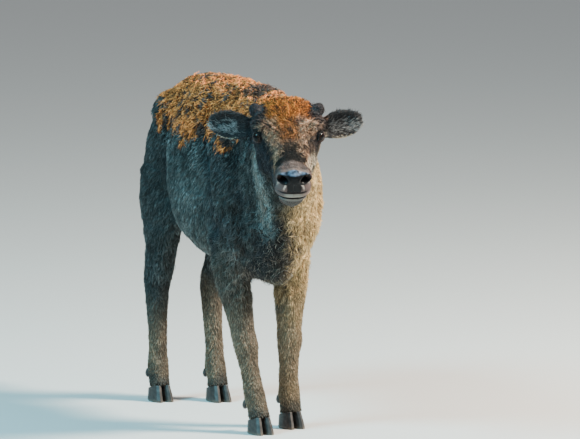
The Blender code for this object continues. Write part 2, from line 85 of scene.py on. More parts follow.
headAxes = np.array(Matrix.Rotation(math.radians(headSettings["turn"]), 3, "Z")
                    @ Matrix.Rotation(math.radians(headSettings["pitch"]), 3, "X"))
eyeMiddles = {side: boxMiddle("eye_" + side) for side, turn in sides}
eyeRadius = (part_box("eye_left")[1].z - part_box("eye_left")[0].z) / 2
headOrigin = ((eyeMiddles["left"] + eyeMiddles["right"]) / 2
              - headAxes @ np.array([0, -headSettings["eyeForward"], headSettings["eyeUp"]]))


def headPlace(points):
    # how far each point lies out to the animal's left, forward along the face and up from the brow
    turned = (points - headOrigin) @ headAxes
    return turned[:, 0], -turned[:, 1], turned[:, 2]


def headWay(out, forward, up):
    way = headAxes @ np.array([out, -forward, up])
    return way / np.linalg.norm(way)


def ramp(low, high, value):
    # 0 below low, 1 above high, with a soft S between
    t = np.clip((value - low) / (high - low), 0, 1)
    return t * t * (3 - 2 * t)


def hill(value, middle, width):
    # a smooth bump of height 1
    return np.exp(-((value - middle) / width) ** 2)


def unit(vectors):
    return vectors / np.maximum(np.linalg.norm(vectors, axis=-1, keepdims=True), 1e-12)


def alongSkin(way, facing):
    # the part of each way that runs along the surface
    return way - facing * np.sum(way * facing, axis=1, keepdims=True)


def cornerValue(ix, iy, iz, seed):
    # a repeatable number from -1 to 1 for each whole-number corner of space
    h = (ix * 73856093) ^ (iy * 19349663) ^ (iz * 83492791) ^ (seed * 26544357)
    h = ((h ^ (h >> 13)) * 1274126177) & 0x7FFFFFFF
    h = ((h ^ (h >> 15)) * 668265263) & 0x7FFFFFFF
    return ((h >> 8) & 0xFFFF) / 32767.5 - 1


def clumps(points, size, seed):
    # soft random hills of the given size: corner values blended along each axis in turn
    scaled = points / size
    low = np.floor(scaled).astype(np.int64)
    t = scaled - low
    t = t * t * (3 - 2 * t)
    total = 0
    for corner in np.ndindex(2, 2, 2):
        weight = np.where(corner, t, 1 - t)
        total = total + weight[:, 0] * weight[:, 1] * weight[:, 2] * cornerValue(*(low + corner).T, seed)
    return total


def listed(items, key, width, kind=float):
    # one vector of each item of a mesh, as an array
    values = np.zeros(len(items) * width, kind)
    items.foreach_get(key, values)
    return values.reshape(-1, width)


def meshArrays(mesh):
    mesh.calc_loop_triangles()
    return listed(mesh.vertices, "co", 3), listed(mesh.loop_triangles, "vertices", 3, np.int32)


def vertexNormals(mesh):
    return listed(mesh.vertex_normals, "vector", 3, np.float32).astype(float)


def meshEdges(mesh):
    return listed(mesh.edges, "vertices", 2, np.int32)


def setPoints(mesh, points):
    mesh.vertices.foreach_set("co", points.astype(np.float32).ravel())
    mesh.update()


def newPiece(name, data):
    piece = bpy.data.objects.new(name, data)
    bpy.context.scene.collection.objects.link(piece)
    return piece


def edited(mesh, change):
    # the mesh after a change made to an editable copy of it
    work = bmesh.new()
    work.from_mesh(mesh)
    change(work)
    work.to_mesh(mesh)
    work.free()
    return mesh


def coloured(mesh, tones):
    values = np.ones((len(mesh.vertices), 4), np.float32)
    values[:, :3] = tones
    attribute = mesh.color_attributes.new("coatColour", "FLOAT_COLOR", "POINT")
    attribute.data.foreach_set("color", values.ravel())


def declared(piece, slotName, *nodes):
    # smooth faces, the body that the piece rides on and the nodes that it replaces; slotName is not used
    piece.data.polygons.foreach_set("use_smooth", np.ones(len(piece.data.polygons), bool))
    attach(piece, "root")
    if nodes:
        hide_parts(*nodes)
    return piece


def smoothed(points, edges, rounds, amount, keep=None):
    # each round moves a point part of the way to the mean of its neighbours, then back a little more,
    # so that bumps go and the whole does not shrink
    count = np.bincount(edges.ravel(), minlength=len(points)).astype(float)
    weight = np.ones(len(points)) if keep is None else keep
    for turn in range(rounds):
        for step in (amount, -amount * 1.04):
            total = np.stack([np.bincount(edges[:, 0], points[edges[:, 1], k], len(points))
                              + np.bincount(edges[:, 1], points[edges[:, 0], k], len(points))
                              for k in range(3)], axis=1)
            points = points + (total / count[:, None] - points) * (step * weight)[:, None]
    return points


def seenFrom(azimuth, elevation):
    # the way from the middle out to a camera or a light
    a, e = math.radians(azimuth), math.radians(elevation)
    return Vector((math.sin(a) * math.cos(e), -math.cos(a) * math.cos(e), math.sin(e)))


def aimed(item, place, back):
    item.location = place
    item.rotation_mode = "QUATERNION"
    item.rotation_quaternion = (-back).to_track_quat("-Z", "Y")


cameraSettings = {"azimuth": -22.0, "elevation": 7.0, "distance": 20.0, "scale": 395.0, "sensor": 36,
                  "frame": 580, "foot": tuple(headOrigin + np.array([0.0397, 0.2198, -0.8373])),
                  "right": 0.0557, "up": 0.5284}


def makeCamera(given):
    back = seenFrom(given["azimuth"], given["elevation"])
    right = seenFrom(given["azimuth"] + 90, 0)
    data = bpy.data.cameras.new("camera")
    data.sensor_width = given["sensor"]
    data.lens = given["scale"] * given["distance"] * given["sensor"] / given["frame"]
    data.clip_end = 200
    camera = newPiece("camera", data)
    target = Vector(given["foot"]) + right * given["right"] + back.cross(right) * given["up"]
    aimed(camera, target + back * given["distance"], back)
    bpy.context.scene.camera = camera


makeCamera(cameraSettings)


def earShare(out, forward, z):
    # 1 on the ears, 0 on the head and everything behind it
    return (ramp(0.088, 0.102, np.abs(out)) * ramp(0.7, 0.74, z)
            * ramp(-0.075, -0.055, forward) * ramp(0.12, 0.1, forward))


def earPlace(place, normals):
    # on an ear: 0 at its root to 1 at its tip, -1 at its lower edge to 1 at its upper one, and 1 where it
    # faces forward
    out, forward, up = place
    along = (np.abs(out) - 0.07) / 0.121
    half = 0.035 * np.sqrt(np.clip(1 - ((along - 0.5) / 0.52) ** 2, 0.05, 1))
    across = ((up + 0.0355) * 0.85 - (forward - 0.021) * 0.52) / half
    return along, across, ramp(-0.1, 0.25, normals @ headWay(0, 0.85, 0.52))


faceSettings = {
    "nostrilArc": 0.0315, "nostrilUp": -0.012, "nostrilLong": 0.0158, "nostrilHigh": 0.0088,
    "nostrilTilt": 0.22, "nostrilDeep": 0.017, "mouthDeep": 0.005, "mouthWide": 0.0016, "lidProud": 0.0012,
    "lidLong": 1.08, "upperLid": 0.68, "lowerLid": 0.58, "lidRim": 0.0006, "lidFold": 0.0012,
    "gaze": (0.7, 0.62, 0.32), "fissure": (-0.45, 0.86, -0.42), "browFolds": ((0.0, 0.003), (0.013, 0.0018)),
    "upperLip": 0.0016, "lowerLip": 0.0018, "lipCleft": 0.0011, "lipEdge": 0.001, "nostrilWing": 0.0016}


def eyeAxes(turn):
    # where the eye looks, the line from its back corner to its front corner, and the way to its upper lid
    gaze, along = (headWay(faceSettings[key][0] * turn, *faceSettings[key][1:]) for key in ("gaze", "fissure"))
    along = unit(along - gaze * np.dot(along, gaze))
    over = np.cross(along, gaze) * turn
    return gaze, along, over if np.dot(over, headWay(0, 0, 1)) >= 0 else -over


def slitPlace(points, side, turn):
    # how far each point lies outside the slit between an eye's lids, and where it lies round the eye
    given = faceSettings
    gaze, along, over = eyeAxes(turn)
    arm = points - eyeMiddles[side]
    far = np.linalg.norm(arm, axis=1)
    way = arm / np.maximum(far, 1e-9)[:, None]
    toward = way @ gaze
    u = np.arctan2(way @ along, np.maximum(toward, 0.02))
    v = np.arctan2(way @ over, np.maximum(toward, 0.02))
    shape = np.maximum(0, 1 - (u / given["lidLong"]) ** 2)
    half = np.where(v > 0, given["upperLid"], given["lowerLid"]) * shape ** 0.75
    slit = (np.abs(v) - half) * eyeRadius
    corner = np.hypot(np.abs(u) - given["lidLong"], v) * eyeRadius + 0.0002
    return np.where(np.abs(u) > given["lidLong"], corner, slit), v, toward, far


def eyeSlits(points):
    return [slitPlace(points, side, turn) for side, turn in sides]


def eyeFar(points):
    # how far each point lies from the middle of the nearer eye
    return np.minimum(*[np.linalg.norm(points - middle, axis=1) for middle in eyeMiddles.values()])


def mouthLine(forward):
    # the height of the mouth's line: it falls by a quarter of the way back from the lips
    return -0.0655 - 0.25 * (0.275 - forward)


def nostrilPlace(out, forward, up):
    # distance from a nostril's middle as a share of its size, along a comma that wraps round the muzzle
    given = faceSettings
    arc = np.abs(out) + np.maximum(0, 0.268 - forward) * 0.85
    tilt = given["nostrilTilt"]
    a = (arc - given["nostrilArc"]) * math.cos(tilt) + (up - given["nostrilUp"]) * math.sin(tilt)
    b = (up - given["nostrilUp"]) * math.cos(tilt) - (arc - given["nostrilArc"]) * math.sin(tilt)
    return np.hypot(a / given["nostrilLong"], (b + 4.5 * a * np.abs(a)) / given["nostrilHigh"])


def bareness(points):
    # 1 on the nose, the lips and the eyelids, where no hair grows
    out, forward, up = headPlace(points)
    bridge = ramp(0.243, 0.25, forward - 0.08 * np.abs(out)) * ramp(-0.066, -0.06, up)
    under = ramp(0.25, 0.258, forward) * ramp(-0.079, -0.074, up)
    lids = 0
    for slit, v, toward, far in eyeSlits(points):
        lids = np.maximum(lids, ramp(0.0034, 0.002, slit) * ramp(0.0, 0.2, toward)
                          * ramp(eyeRadius + 0.014, eyeRadius + 0.009, far))
    return np.maximum(np.maximum(bridge, under), lids) * ramp(0.6, 0.61, points[:, 2])


# the teal in the flank and throat tones is painted sky light, over dark flank hair and pale throat hair
coatTones = {"flank": (0.043, 0.052, 0.052), "rump": (0.037, 0.041, 0.041), "orange": (0.6, 0.188, 0.05),
             "rust": (0.24, 0.073, 0.012), "tan": (0.64, 0.435, 0.205), "leg": (0.215, 0.16, 0.108),
             # the near-black tone is dark hair, and it also serves as painted shade on the right cheek, the
             # right shoulder and the folds
             "cheek": (0.016, 0.018, 0.022), "throat": (0.12, 0.185, 0.195), "brow": (0.35, 0.208, 0.13),
             "bridge": (0.018, 0.014, 0.012), "dome": (0.17, 0.118, 0.102), "pad": (0.006, 0.006, 0.007),
             "ridge": (0.038, 0.032, 0.03), "ear": (0.03, 0.03, 0.032), "cream": (0.55, 0.46, 0.34),
             "lip": (0.2, 0.192, 0.168), "chin": (0.085, 0.08, 0.076), "mauve": (0.08, 0.056, 0.053),
             # the pale blue tone is a painted highlight, laid along the top of the nose pad
             "sheen": (0.2, 0.27, 0.39), "pink": (0.16, 0.085, 0.072), "pale": (0.5, 0.41, 0.35),
             "lid": (0.01, 0.009, 0.01)}


def blend(tone, other, mask):
    return tone + (np.array(other) - tone) * mask[:, None]


def layered(tone, *layers):
    # named tones laid over one another, each through its mask
    for name, mask in layers:
        tone = blend(tone, coatTones[name], mask)
    return tone


def creases(points, wide):
    # 1 along each fold of the body: behind the shoulder, before the haunch and at the foot of the neck
    y, z = points[:, 1:].T
    body = ramp(0.42, 0.47, z) * ramp(0.845, 0.8, z) * ramp(-0.3, -0.24, y) * ramp(0.58, 0.52, y)
    shoulder = hill(y, np.interp(z, [0.46, 0.58, 0.7, 0.8], [-0.095, -0.105, -0.015, 0.03]), 0.014 * wide)
    haunch = hill(y, np.interp(z, [0.46, 0.6, 0.74], [0.2, 0.26, 0.3]), 0.018 * wide) * ramp(0.72, 0.64, z)
    neck = hill(y, np.interp(z, [0.46, 0.6, 0.78], [-0.215, -0.225, -0.2]), 0.012 * wide)
    return body * shoulder, body * haunch, body * neck, body


def bodyTones(points, big, mid, small):
    x, y, z = points.T
    side = x - 0.035
    # painted light: the barrel of the body is painted lighter
    paintedBarrelLight = ramp(-0.03, 0.05, y) * ramp(0.3, 0.22, y) * ramp(0.76, 0.66, z)
    tone = layered(
        np.tile(coatTones["flank"], (len(points), 1)),
        ("rump", ramp(0.2, 0.36, y + 0.04 * mid) * 0.85),
        # the right shoulder, on the side away from the light, is darkened as painted shade
        ("cheek", 0.55 * ramp(0.0, -0.1, y) * ramp(0.0, -0.04, side) * ramp(-0.3, 0.5, big + 0.5 * mid)))
    tone = layered(
        tone * (1 + 0.55 * paintedBarrelLight)[:, None],
        ("leg", 0.22 * ramp(0.52, 0.4, z + 0.03 * mid) * ramp(0.1, -0.05, y) * ramp(0.02, -0.03, side)))
    # the chest and the front of the neck are tan, with dark streaks between; the tan reaches over the left
    # shoulder, the lit side, as painted light, and the folds are darkened as painted shade
    shoulder, haunch, neck = creases(points, 1.5)[:3]
    # the folds behind the shoulder, before the haunch and at the foot of the neck are painted darker as shade,
    # more on the right, away from the light
    paintedCreaseShade = np.clip(0.75 * shoulder + 0.65 * haunch + 0.4 * neck, 0, 0.8)
    paintedCreaseShade = paintedCreaseShade * (0.45 + 0.55 * ramp(0.03, -0.03, side))
    front = ramp(0.00, -0.16, y + 0.03 * mid + 0.02 * small)
    lit = ramp(-0.045, 0.035, side + 0.022 * mid + 0.01 * small)
    tan = front * lit * (0.88 - 0.5 * ramp(0.0, 0.6, mid + 0.4 * small) * ramp(0.09, 0.03, side))
    streak = ramp(0.0, 0.55, clumps(points * np.array([1.0, 1.0, 0.3]), 0.017, 15)) * ramp(0.075, 0.015, side)
    # darker under the chest between the forelegs: dark brisket hair deepened with painted shade
    fold = (ramp(0.56, 0.52, z + 0.025 * mid) * ramp(0.37, 0.41, z) * front
            * ramp(0.056, 0.026, np.abs(x - 0.004) + 0.012 * small))
    # the legs turn brown below the knee and hock, and black just above the hoof
    low = ramp(0.36, 0.22, z + 0.04 * mid + 0.07 * ramp(0.1, 0.3, y) * ramp(0.05, 0.0, x))
    # the old orange coat left on the back and loin hangs down in lobes, with dark gaps in it
    edge = 0.73 + 0.022 * big + 0.02 * mid + 0.01 * small + 0.06 * ramp(-0.17, -0.22, y)
    edge = edge - 0.026 * hill(y, -0.125, 0.036)
    reach = 0.325 + 0.085 * ramp(0.76, 0.82, z)
    rear = y - reach + 0.06 * big + 0.048 * mid + 0.022 * small
    patch = ramp(-0.008, 0.008, z - edge) * ramp(0.01, -0.01, rear)
    gap = ramp(0.18, 0.38, 0.5 * mid + 0.7 * small + 0.34 * ramp(0.81, 0.73, z) - 0.08)
    # a dark ridge over the front of the hump
    ridge = (ramp(-0.205, -0.185, y + 0.016 * mid) * ramp(-0.065, -0.1, y + 0.016 * small)
             * ramp(0.828, 0.845, z + 0.012 * small - 0.1 * np.abs(side))
             * ramp(0.07, 0.035, np.abs(side) + 0.02 * mid + 0.012 * small))
    return layered(
        tone * np.exp(0.36 * mid + 0.46 * big + 0.24 * small)[:, None],
        ("cheek", paintedCreaseShade),
        # tan over the chest, stronger on the left, lit side as painted light
        ("tan", tan * (0.45 + 0.55 * ramp(0.34, 0.44, z))),
        # more tan on the left shoulder and side: painted light
        ("tan", 0.35 * ramp(0.1, -0.1, y) * ramp(0.03, 0.08, side) * (0.7 + 0.3 * mid)),
        ("rump", 0.7 * front * lit * streak * ramp(0.33, 0.4, z)),
        ("cheek", 0.85 * fold),
        ("leg", low * (0.76 + 0.22 * mid + 0.15 * small)),
        ("rump", ramp(0.085, 0.055, z + 0.012 * mid) * 0.75),
        ("cheek", 0.7 * patch * gap),
        ("orange", patch * (1 - 0.93 * gap)),
        ("ridge", ridge * (0.95 - 0.35 * ramp(0, 0.5, small))))


def headTones(place, mid, small, fine):
    out, forward, up = place
    side = np.abs(out)
    grain = 0.009 * mid + 0.006 * small + 0.006 * fine
    near = side + grain

    def spot(outer, inner, a, b, share=1):
        # 1 within the inner distance of a place, 0 beyond the outer one
        return ramp(outer, inner, np.hypot(a, b) + share * grain)

    crown = ramp(0.088, 0.056, forward + 0.14 * side + 1.2 * grain) * ramp(-0.035, -0.015, up)
    wide = 0.006 + 0.012 * ramp(0.105, 0.15, forward) + 0.018 * ramp(0.158, 0.198, forward)
    bridge = ramp(0.098, 0.128, forward + 1.3 * grain) * ramp(0.008, -0.008, side - wide + 2.2 * grain)
    edge = ramp(0.054, 0.062, out + 0.3 * (forward - 0.12) + 0.4 * grain) * ramp(0.13, 0.145, forward)
    jaw = ramp(0.046, 0.06, out + 0.4 * grain) * ramp(-0.03, -0.052, up + grain) * ramp(0.0, 0.04, forward)
    head = layered(
        np.tile(coatTones["brow"], (len(out), 1)),
        ("cheek", 0.85 * ramp(0.0, 0.5, 0.7 * small + 0.5 * fine + 0.3 * mid)),
        ("rust", crown),
        ("rust", 0.85 * ramp(0.15, 0.118, forward + grain) * ramp(0.034, 0.012, near)),
        ("cheek", 0.5 * ramp(0.1, 0.13, forward) * ramp(0.03, 0.014, near)
         * ramp(-0.1, 0.3, fine + 0.5 * small)),
        # dark hair round the horns, in the whorl and down the bridge of the nose, and painted shade in the
        # hollows over the eyes
        ("cheek", 0.92 * spot(0.036, 0.022, side - 0.083, 0.75 * (forward - 0.05))),
        ("cheek", 0.8 * spot(0.026, 0.012, side - 0.078, forward - 0.108)),
        ("bridge", 0.85 * spot(0.01, 0.004, out - 0.002, forward - 0.092, 0.7)),
        ("bridge", bridge * (0.8 + 0.2 * ramp(0.14, 0.17, forward))),
        # cheeks: near black on the right, painted shade over dark hair on the side away from the light; on the
        # left a grey hollow under the eye and a pale cream edge by the jaw, painted rim light
        ("cheek", ramp(0.038, 0.05, -out + grain) * ramp(0.0, -0.016, up + grain)),
        ("cheek", 0.9 * ramp(-0.03, -0.05, up + grain) * ramp(0.015, 0.035, -out)),
        ("cheek", 0.8 * spot(0.022, 0.012, out - 0.062, (forward - 0.135) * 0.7)),
        # pale cream on the left edge of the face and jaw: painted rim light
        ("cream", 0.6 * edge * ramp(0.215, 0.2, forward)),
        ("cream", 0.42 * jaw * ramp(0.15, 0.13, forward)))
    heights = [-0.33, -0.23, -0.15, -0.09]
    strip = np.interp(up, heights, [0.036, 0.051, 0.069, 0.077])
    fore = np.interp(up, heights, [0.1, 0.092, 0.079, 0.04])
    throat = spot(0.028, 0.008, -out - strip + 0.003, 0.8 * (forward - fore), 0.4) * ramp(-0.07, -0.085, up)
    return head, throat * ramp(-0.34, -0.29, up)


def noseTones(head, place, small, fine):
    # bare skin: a mauve dome, a black pad round the nostrils and down the middle, pale flecks and pale lips,
    # with a painted highlight along the pad's upper edge
    out, forward, up = place
    side = np.abs(out)
    grain = 0.0016 * small + 0.0012 * fine
    ring = nostrilPlace(out, forward, up)
    face = ramp(0.245, 0.256, forward)
    line = up - mouthLine(forward)
    rough = side + 2 * grain
    fleck = ramp(0.0034, 0.0012, np.abs(side - 0.0238 + 0.3 * (up + 0.034) + 1.2 * grain))
    fleck = fleck * ramp(-1.0, 0.1, fine + 0.4 * small) * ramp(-0.046, -0.032, up) * ramp(-0.018, -0.028, up)
    outer = ramp(0.003, 0.001, np.abs(side - 0.0395 + 0.4 * (up + 0.03) + grain))
    pad = ramp(0.019, 0.0165, side + 0.16 * np.maximum(0, up + 0.03) + grain) * ramp(-0.0485, -0.0465, up)
    pad = np.maximum(pad, ramp(1.72, 1.5, ring))
    pad = np.maximum(pad, ramp(-0.018, -0.013, up) * ramp(0.052, 0.048, side))
    pad = pad * ramp(0.2535, 0.2565, forward - 0.1 * side)
    pad = np.maximum(pad, ramp(1.15, 1.0, ring) * ramp(0.215, 0.225, forward))
    # a painted highlight of sky light along the upper edge of the pad
    paintedShine = ramp(-0.002, 0.003, up) * ramp(0.012, 0.008, up + 0.08 * side) * ramp(0.043, 0.03, side)
    paintedShine = paintedShine * ramp(1.05, 1.25, ring) * ramp(-1.3, 0.8, fine + 0.6 * small)
    lips = ramp(0.03, 0.016, side + 3 * grain) * np.clip(0.86 + 0.5 * small + 0.3 * fine, 0, 1)
    head = layered(
        head,
        ("dome", ramp(0.206, 0.218, forward - 0.2 * side + 2.6 * grain) * np.clip(0.8 + 0.3 * fine, 0.3, 1)),
        ("mauve", 0.75 * ramp(0.205, 0.215, forward) * ramp(0.004, -0.028, out + 2 * grain)),
        ("mauve", 0.8 * ramp(0.205, 0.222, forward) * ramp(0.038, 0.048, rough) * ramp(-0.058, -0.052, up)),
        # the right side of the muzzle, away from the light, is darkened as painted shade
        ("cheek", 0.75 * ramp(0.2, 0.215, forward) * ramp(0.036, 0.048, -out + 2 * grain)
         * ramp(0.262, 0.245, forward)),
        ("mauve", face * ramp(0.004, -0.002, up) * ramp(-0.058, -0.052, up)),
        ("pale", 0.9 * face * fleck),
        ("pale", 0.3 * face * outer * ramp(-0.046, -0.038, up) * ramp(-0.014, -0.022, up)),
        ("pad", pad),
        ("sheen", 0.68 * pad * paintedShine),
        ("pad", 0.9 * face * ramp(0.013, 0.015, line) * ramp(0.0195, 0.0175, line)
         * ramp(0.041, 0.03, rough)),
        ("lip", face * ramp(0.0022, 0.004, line) * ramp(0.0145, 0.012, line) * lips),
        ("chin", face * ramp(-0.0005, -0.0015, line)),
        ("lip", 0.5 * face * ramp(-0.0014, -0.0026, line) * ramp(-0.0066, -0.0044, line) * lips),
        ("pad", ramp(0.15, 0.19, forward) * ramp(0.0026, 0.0015, np.abs(line))))
    wetLips = 0.35 * ramp(0.018, 0.014, line) * ramp(-0.01, -0.006, line)
    return head, face * np.maximum(pad * ramp(0.75, 1.0, ring), wetLips)


def markings(points, normals):
    # the coat's colour at each point: one tone laid over another through soft, ragged masks
    place = out, forward, up = headPlace(points)
    z = points[:, 2]
    big, mid, small, fine = (clumps(points, *of) for of in ((0.085, 3), (0.034, 5), (0.012, 7), (0.0048, 9)))
    onHead = ramp(-0.035, 0.0, forward + 0.016 * mid) * ramp(-0.115, -0.095, up + 0.01 * small)
    onHead = onHead * ramp(0.575, 0.6, z)
    head, throat = headTones(place, mid, small, fine)
    tone = bodyTones(points, big, mid, small)
    share = earShare(out, forward, z)
    along, across = earPlace(place, normals)[:2]
    tone = layered(
        blend(tone, head, onHead),
        # the pale strip down the right of the throat: pale hair, with the teal of sky light painted into it
        ("throat", throat * ramp(0.45, 0.5, z) * 0.85),
        ("ear", share),
        ("cream", share * np.where(out > 0, 0.55, 0.12) * ramp(-0.78, -0.9, across + 0.1 * small)
         * ramp(0.35, 0.55, along)))
    bare = noseTones(tone, place, small, fine)[0]
    tone = blend(tone, bare, ramp(0.6, 0.61, z) * ramp(0.19, 0.2, forward))
    for slit, v, toward, far in eyeSlits(points):
        near = ramp(0.1, 0.3, toward) * ramp(eyeRadius + 0.012, eyeRadius + 0.008, far)
        tone = layered(tone, ("lid", near * ramp(0.0115, 0.006, slit)),
                       ("pink", 0.22 * near * ramp(0.0016, 0.0008, np.abs(slit - 0.0006)) * (v < 0)))
    flecks = onHead * ramp(0.07, 0.13, forward) * ramp(0.215, 0.205, forward)
    light = (1 + 0.08 * mid + 0.1 * small) * np.exp(flecks * (0.62 * fine + 0.25 * small))
    return tone * light[:, None]


def hairWay(points, normals):
    # the way the hair lies: back along the body and down its sides, down the legs, out from a whorl on the brow
    out, forward, up = headPlace(points)
    z = points[:, 2]
    top = ramp(0.74, 0.86, z)
    way = np.stack([np.zeros(len(z)), 0.45 + 0.55 * top, -1.0 + 0.75 * top], axis=1)
    leg = ramp(0.42, 0.34, z)[:, None]
    way = way * (1 - leg) + np.array([0, 0.12, -1.0]) * leg
    a, b, c = unit(np.stack([out * 1.3 - 0.0026, forward - 0.091 + 0.25 * ramp(0.07, 0.12, forward),
                             -1.2 * ramp(0.0, -0.05, up)], axis=1)).T
    fromWhorl = np.stack([a, -b, c], axis=1) @ headAxes.T
    onHead = (ramp(-0.03, 0.03, forward) * ramp(0.575, 0.6, z))[:, None]
    way = way * (1 - onHead) + fromWhorl * onHead
    ear = earShare(out, forward, z)[:, None]
    way = way * (1 - ear) + np.sign(out)[:, None] * headAxes[:, 0] * ear
    return unit(alongSkin(way, normals))


coatBase = {"length": 0.018, "width": 0.0025, "lift": 0.24, "spread": 0.24, "curl": 0.14, "lean": 0.45,
            "contrast": 0.5, "density": 77500.0}
coatRegions = {  # values in the order of coatBase; what is None or left out stays as it is
    "back": (0.0175, 0.0033, 0.48, 0.6, 0.65, 1.0, 1.0), "thighs": (0.021, None, 0.3, 0.35),
    "chest": (0.025, 0.0024, 0.32, 0.45, 0.6, 0.75, 0.42),
    "legs": (0.013, 0.0021, 0.26, 0.28, 0.1, 0.35, 0.3, 82000.0),
    "feet": (0.009, 0.0018, 0.26, None, None, None, None, 120000.0),
    "head": (0.0115, 0.0017, 0.34, 0.46, 0.35, 0.8, 0.8, 205000.0),
    "face": (0.0092, 0.0014, 0.25, 0.36, None, 0.65, 0.8, 225000.0),
    "muzzle": (0.0052, 0.001, 0.19, 0.3, None, None, 0.5, 290000.0),
    "nose": (0.0042, 0.0008, 0.12, None, None, None, 0.42, 430000.0),
    "lids": (0.0034, 0.001, 0.14, None, None, 0.2),
    "ears": (0.008, 0.0014, 0.18, 0.3, 0.1, 0.2, 0.3, 170000.0)}


def coatShape(points):
    # length, full width, lift from the skin, spread of direction, sideways curl, lean towards the middle of
    # each lock, contrast between neighbours and number to the square metre, all changing smoothly
    (out, forward), (y, z) = headPlace(points)[:2], points[:, 1:].T
    onHead = ramp(-0.01, 0.05, forward) * ramp(0.575, 0.6, z)
    masks = {"back": ramp(0.66, 0.72, z) * ramp(0.38, 0.32, y),
             "thighs": ramp(0.46, 0.41, z) * ramp(-0.3, -0.05, y),
             "chest": ramp(0.02, -0.16, y) * ramp(0.64, 0.54, z) * ramp(0.33, 0.37, z),
             "legs": ramp(0.37, 0.3, z), "feet": ramp(0.14, 0.07, z), "head": onHead,
             "face": onHead * ramp(0.1, 0.15, forward), "muzzle": onHead * ramp(0.165, 0.21, forward),
             "nose": onHead * ramp(0.208, 0.224, forward),
             "lids": ramp(eyeRadius + 0.014, eyeRadius + 0.005, eyeFar(points)),
             "ears": earShare(out, forward, z)}
    shape = {key: np.full(len(points), value) for key, value in coatBase.items()}
    for region, mask in masks.items():
        for key, value in zip(coatBase, coatRegions[region]):
            if value is not None:
                shape[key] = shape[key] + (value - shape[key]) * mask
    return shape


def coatDepth(points):
    # the skin lies inside the outline by the height that the tufts reach there
    shape = coatShape(points)
    share, least = skinSettings["setIn"]
    depth = shape["length"] * np.sin(shape["lift"]) * share + least
    return depth * (1 - bareness(points))


skinSettings = {"closeGap": 0.0009, "voxel": 0.0046, "rounds": 7, "zones": (0.045, 0.232, 0.0235),
                "bodyTriangles": 44000, "eyeRoom": 0.0012, "merge": 1e-5, "folds": (0.011, 0.007, 0.0065),
                "hollows": 0.0058, "setIn": (0.6, 0.0006)}


def joinedFlesh(given):
    # copies of the flesh nodes, each pushed out by half a cut, and a ball for each eye, in one mesh
    def pushOut(part):
        bmesh.ops.remove_doubles(part, verts=part.verts, dist=given["merge"])
        part.normal_update()
        for vert in part.verts:
            vert.co += vert.normal * given["closeGap"]

    whole = bmesh.new()
    for name in fleshNodes:
        part = edited(frame["nodes"][name].data.copy(), pushOut)
        whole.from_mesh(part)
        bpy.data.meshes.remove(part)
    for middle in eyeMiddles.values():
        bmesh.ops.create_icosphere(whole, subdivisions=4, radius=eyeRadius + given["eyeRoom"],
                                   matrix=Matrix.Translation(Vector(middle)))
    mesh = bpy.data.meshes.new("flesh")
    whole.to_mesh(mesh)
    whole.free()
    return mesh


def applied(piece):
    # the piece's mesh with its modifiers applied
    graph = bpy.context.evaluated_depsgraph_get()
    graph.update()
    mesh = bpy.data.meshes.new_from_object(piece.evaluated_get(graph))
    piece.modifiers.clear()
    old = piece.data
    piece.data = mesh
    bpy.data.meshes.remove(old)
    return mesh


def refine(mesh, chosen):
    # splits every edge between chosen points once
    def split(work):
        work.verts.ensure_lookup_table()
        edges = [edge for edge in work.edges if chosen[edge.verts[0].index] and chosen[edge.verts[1].index]]
        bmesh.ops.subdivide_edges(work, edges=edges, cuts=1, use_grid_fill=True)

    edited(mesh, split)


def zoneShare(points, size, reach):
    # which points lie in the part of the head that is split finer
    out, forward, up = headPlace(points)
    side, eye, head = np.abs(out), eyeFar(points), points[:, 2] > 0.59
    if size == "coarse":
        upper = (forward > reach) & (side < 0.096) & (up > -0.075)
        return head & (upper | (forward > 0.15) & (up > -0.115) | (eye < 0.036))
    if size == "middle":
        mouth = (forward > 0.165) & (np.abs(up - mouthLine(forward)) < 0.008)
        return head & (((forward > reach) & (up > -0.085)) | mouth | (eye < 0.027))
    ring = nostrilPlace(out, forward, up)
    return head & (((eye < reach) & (side > 0.068) & (forward > 0.075))
                   | ((forward > 0.236) & (ring > 0.55) & (ring < 1.5)))


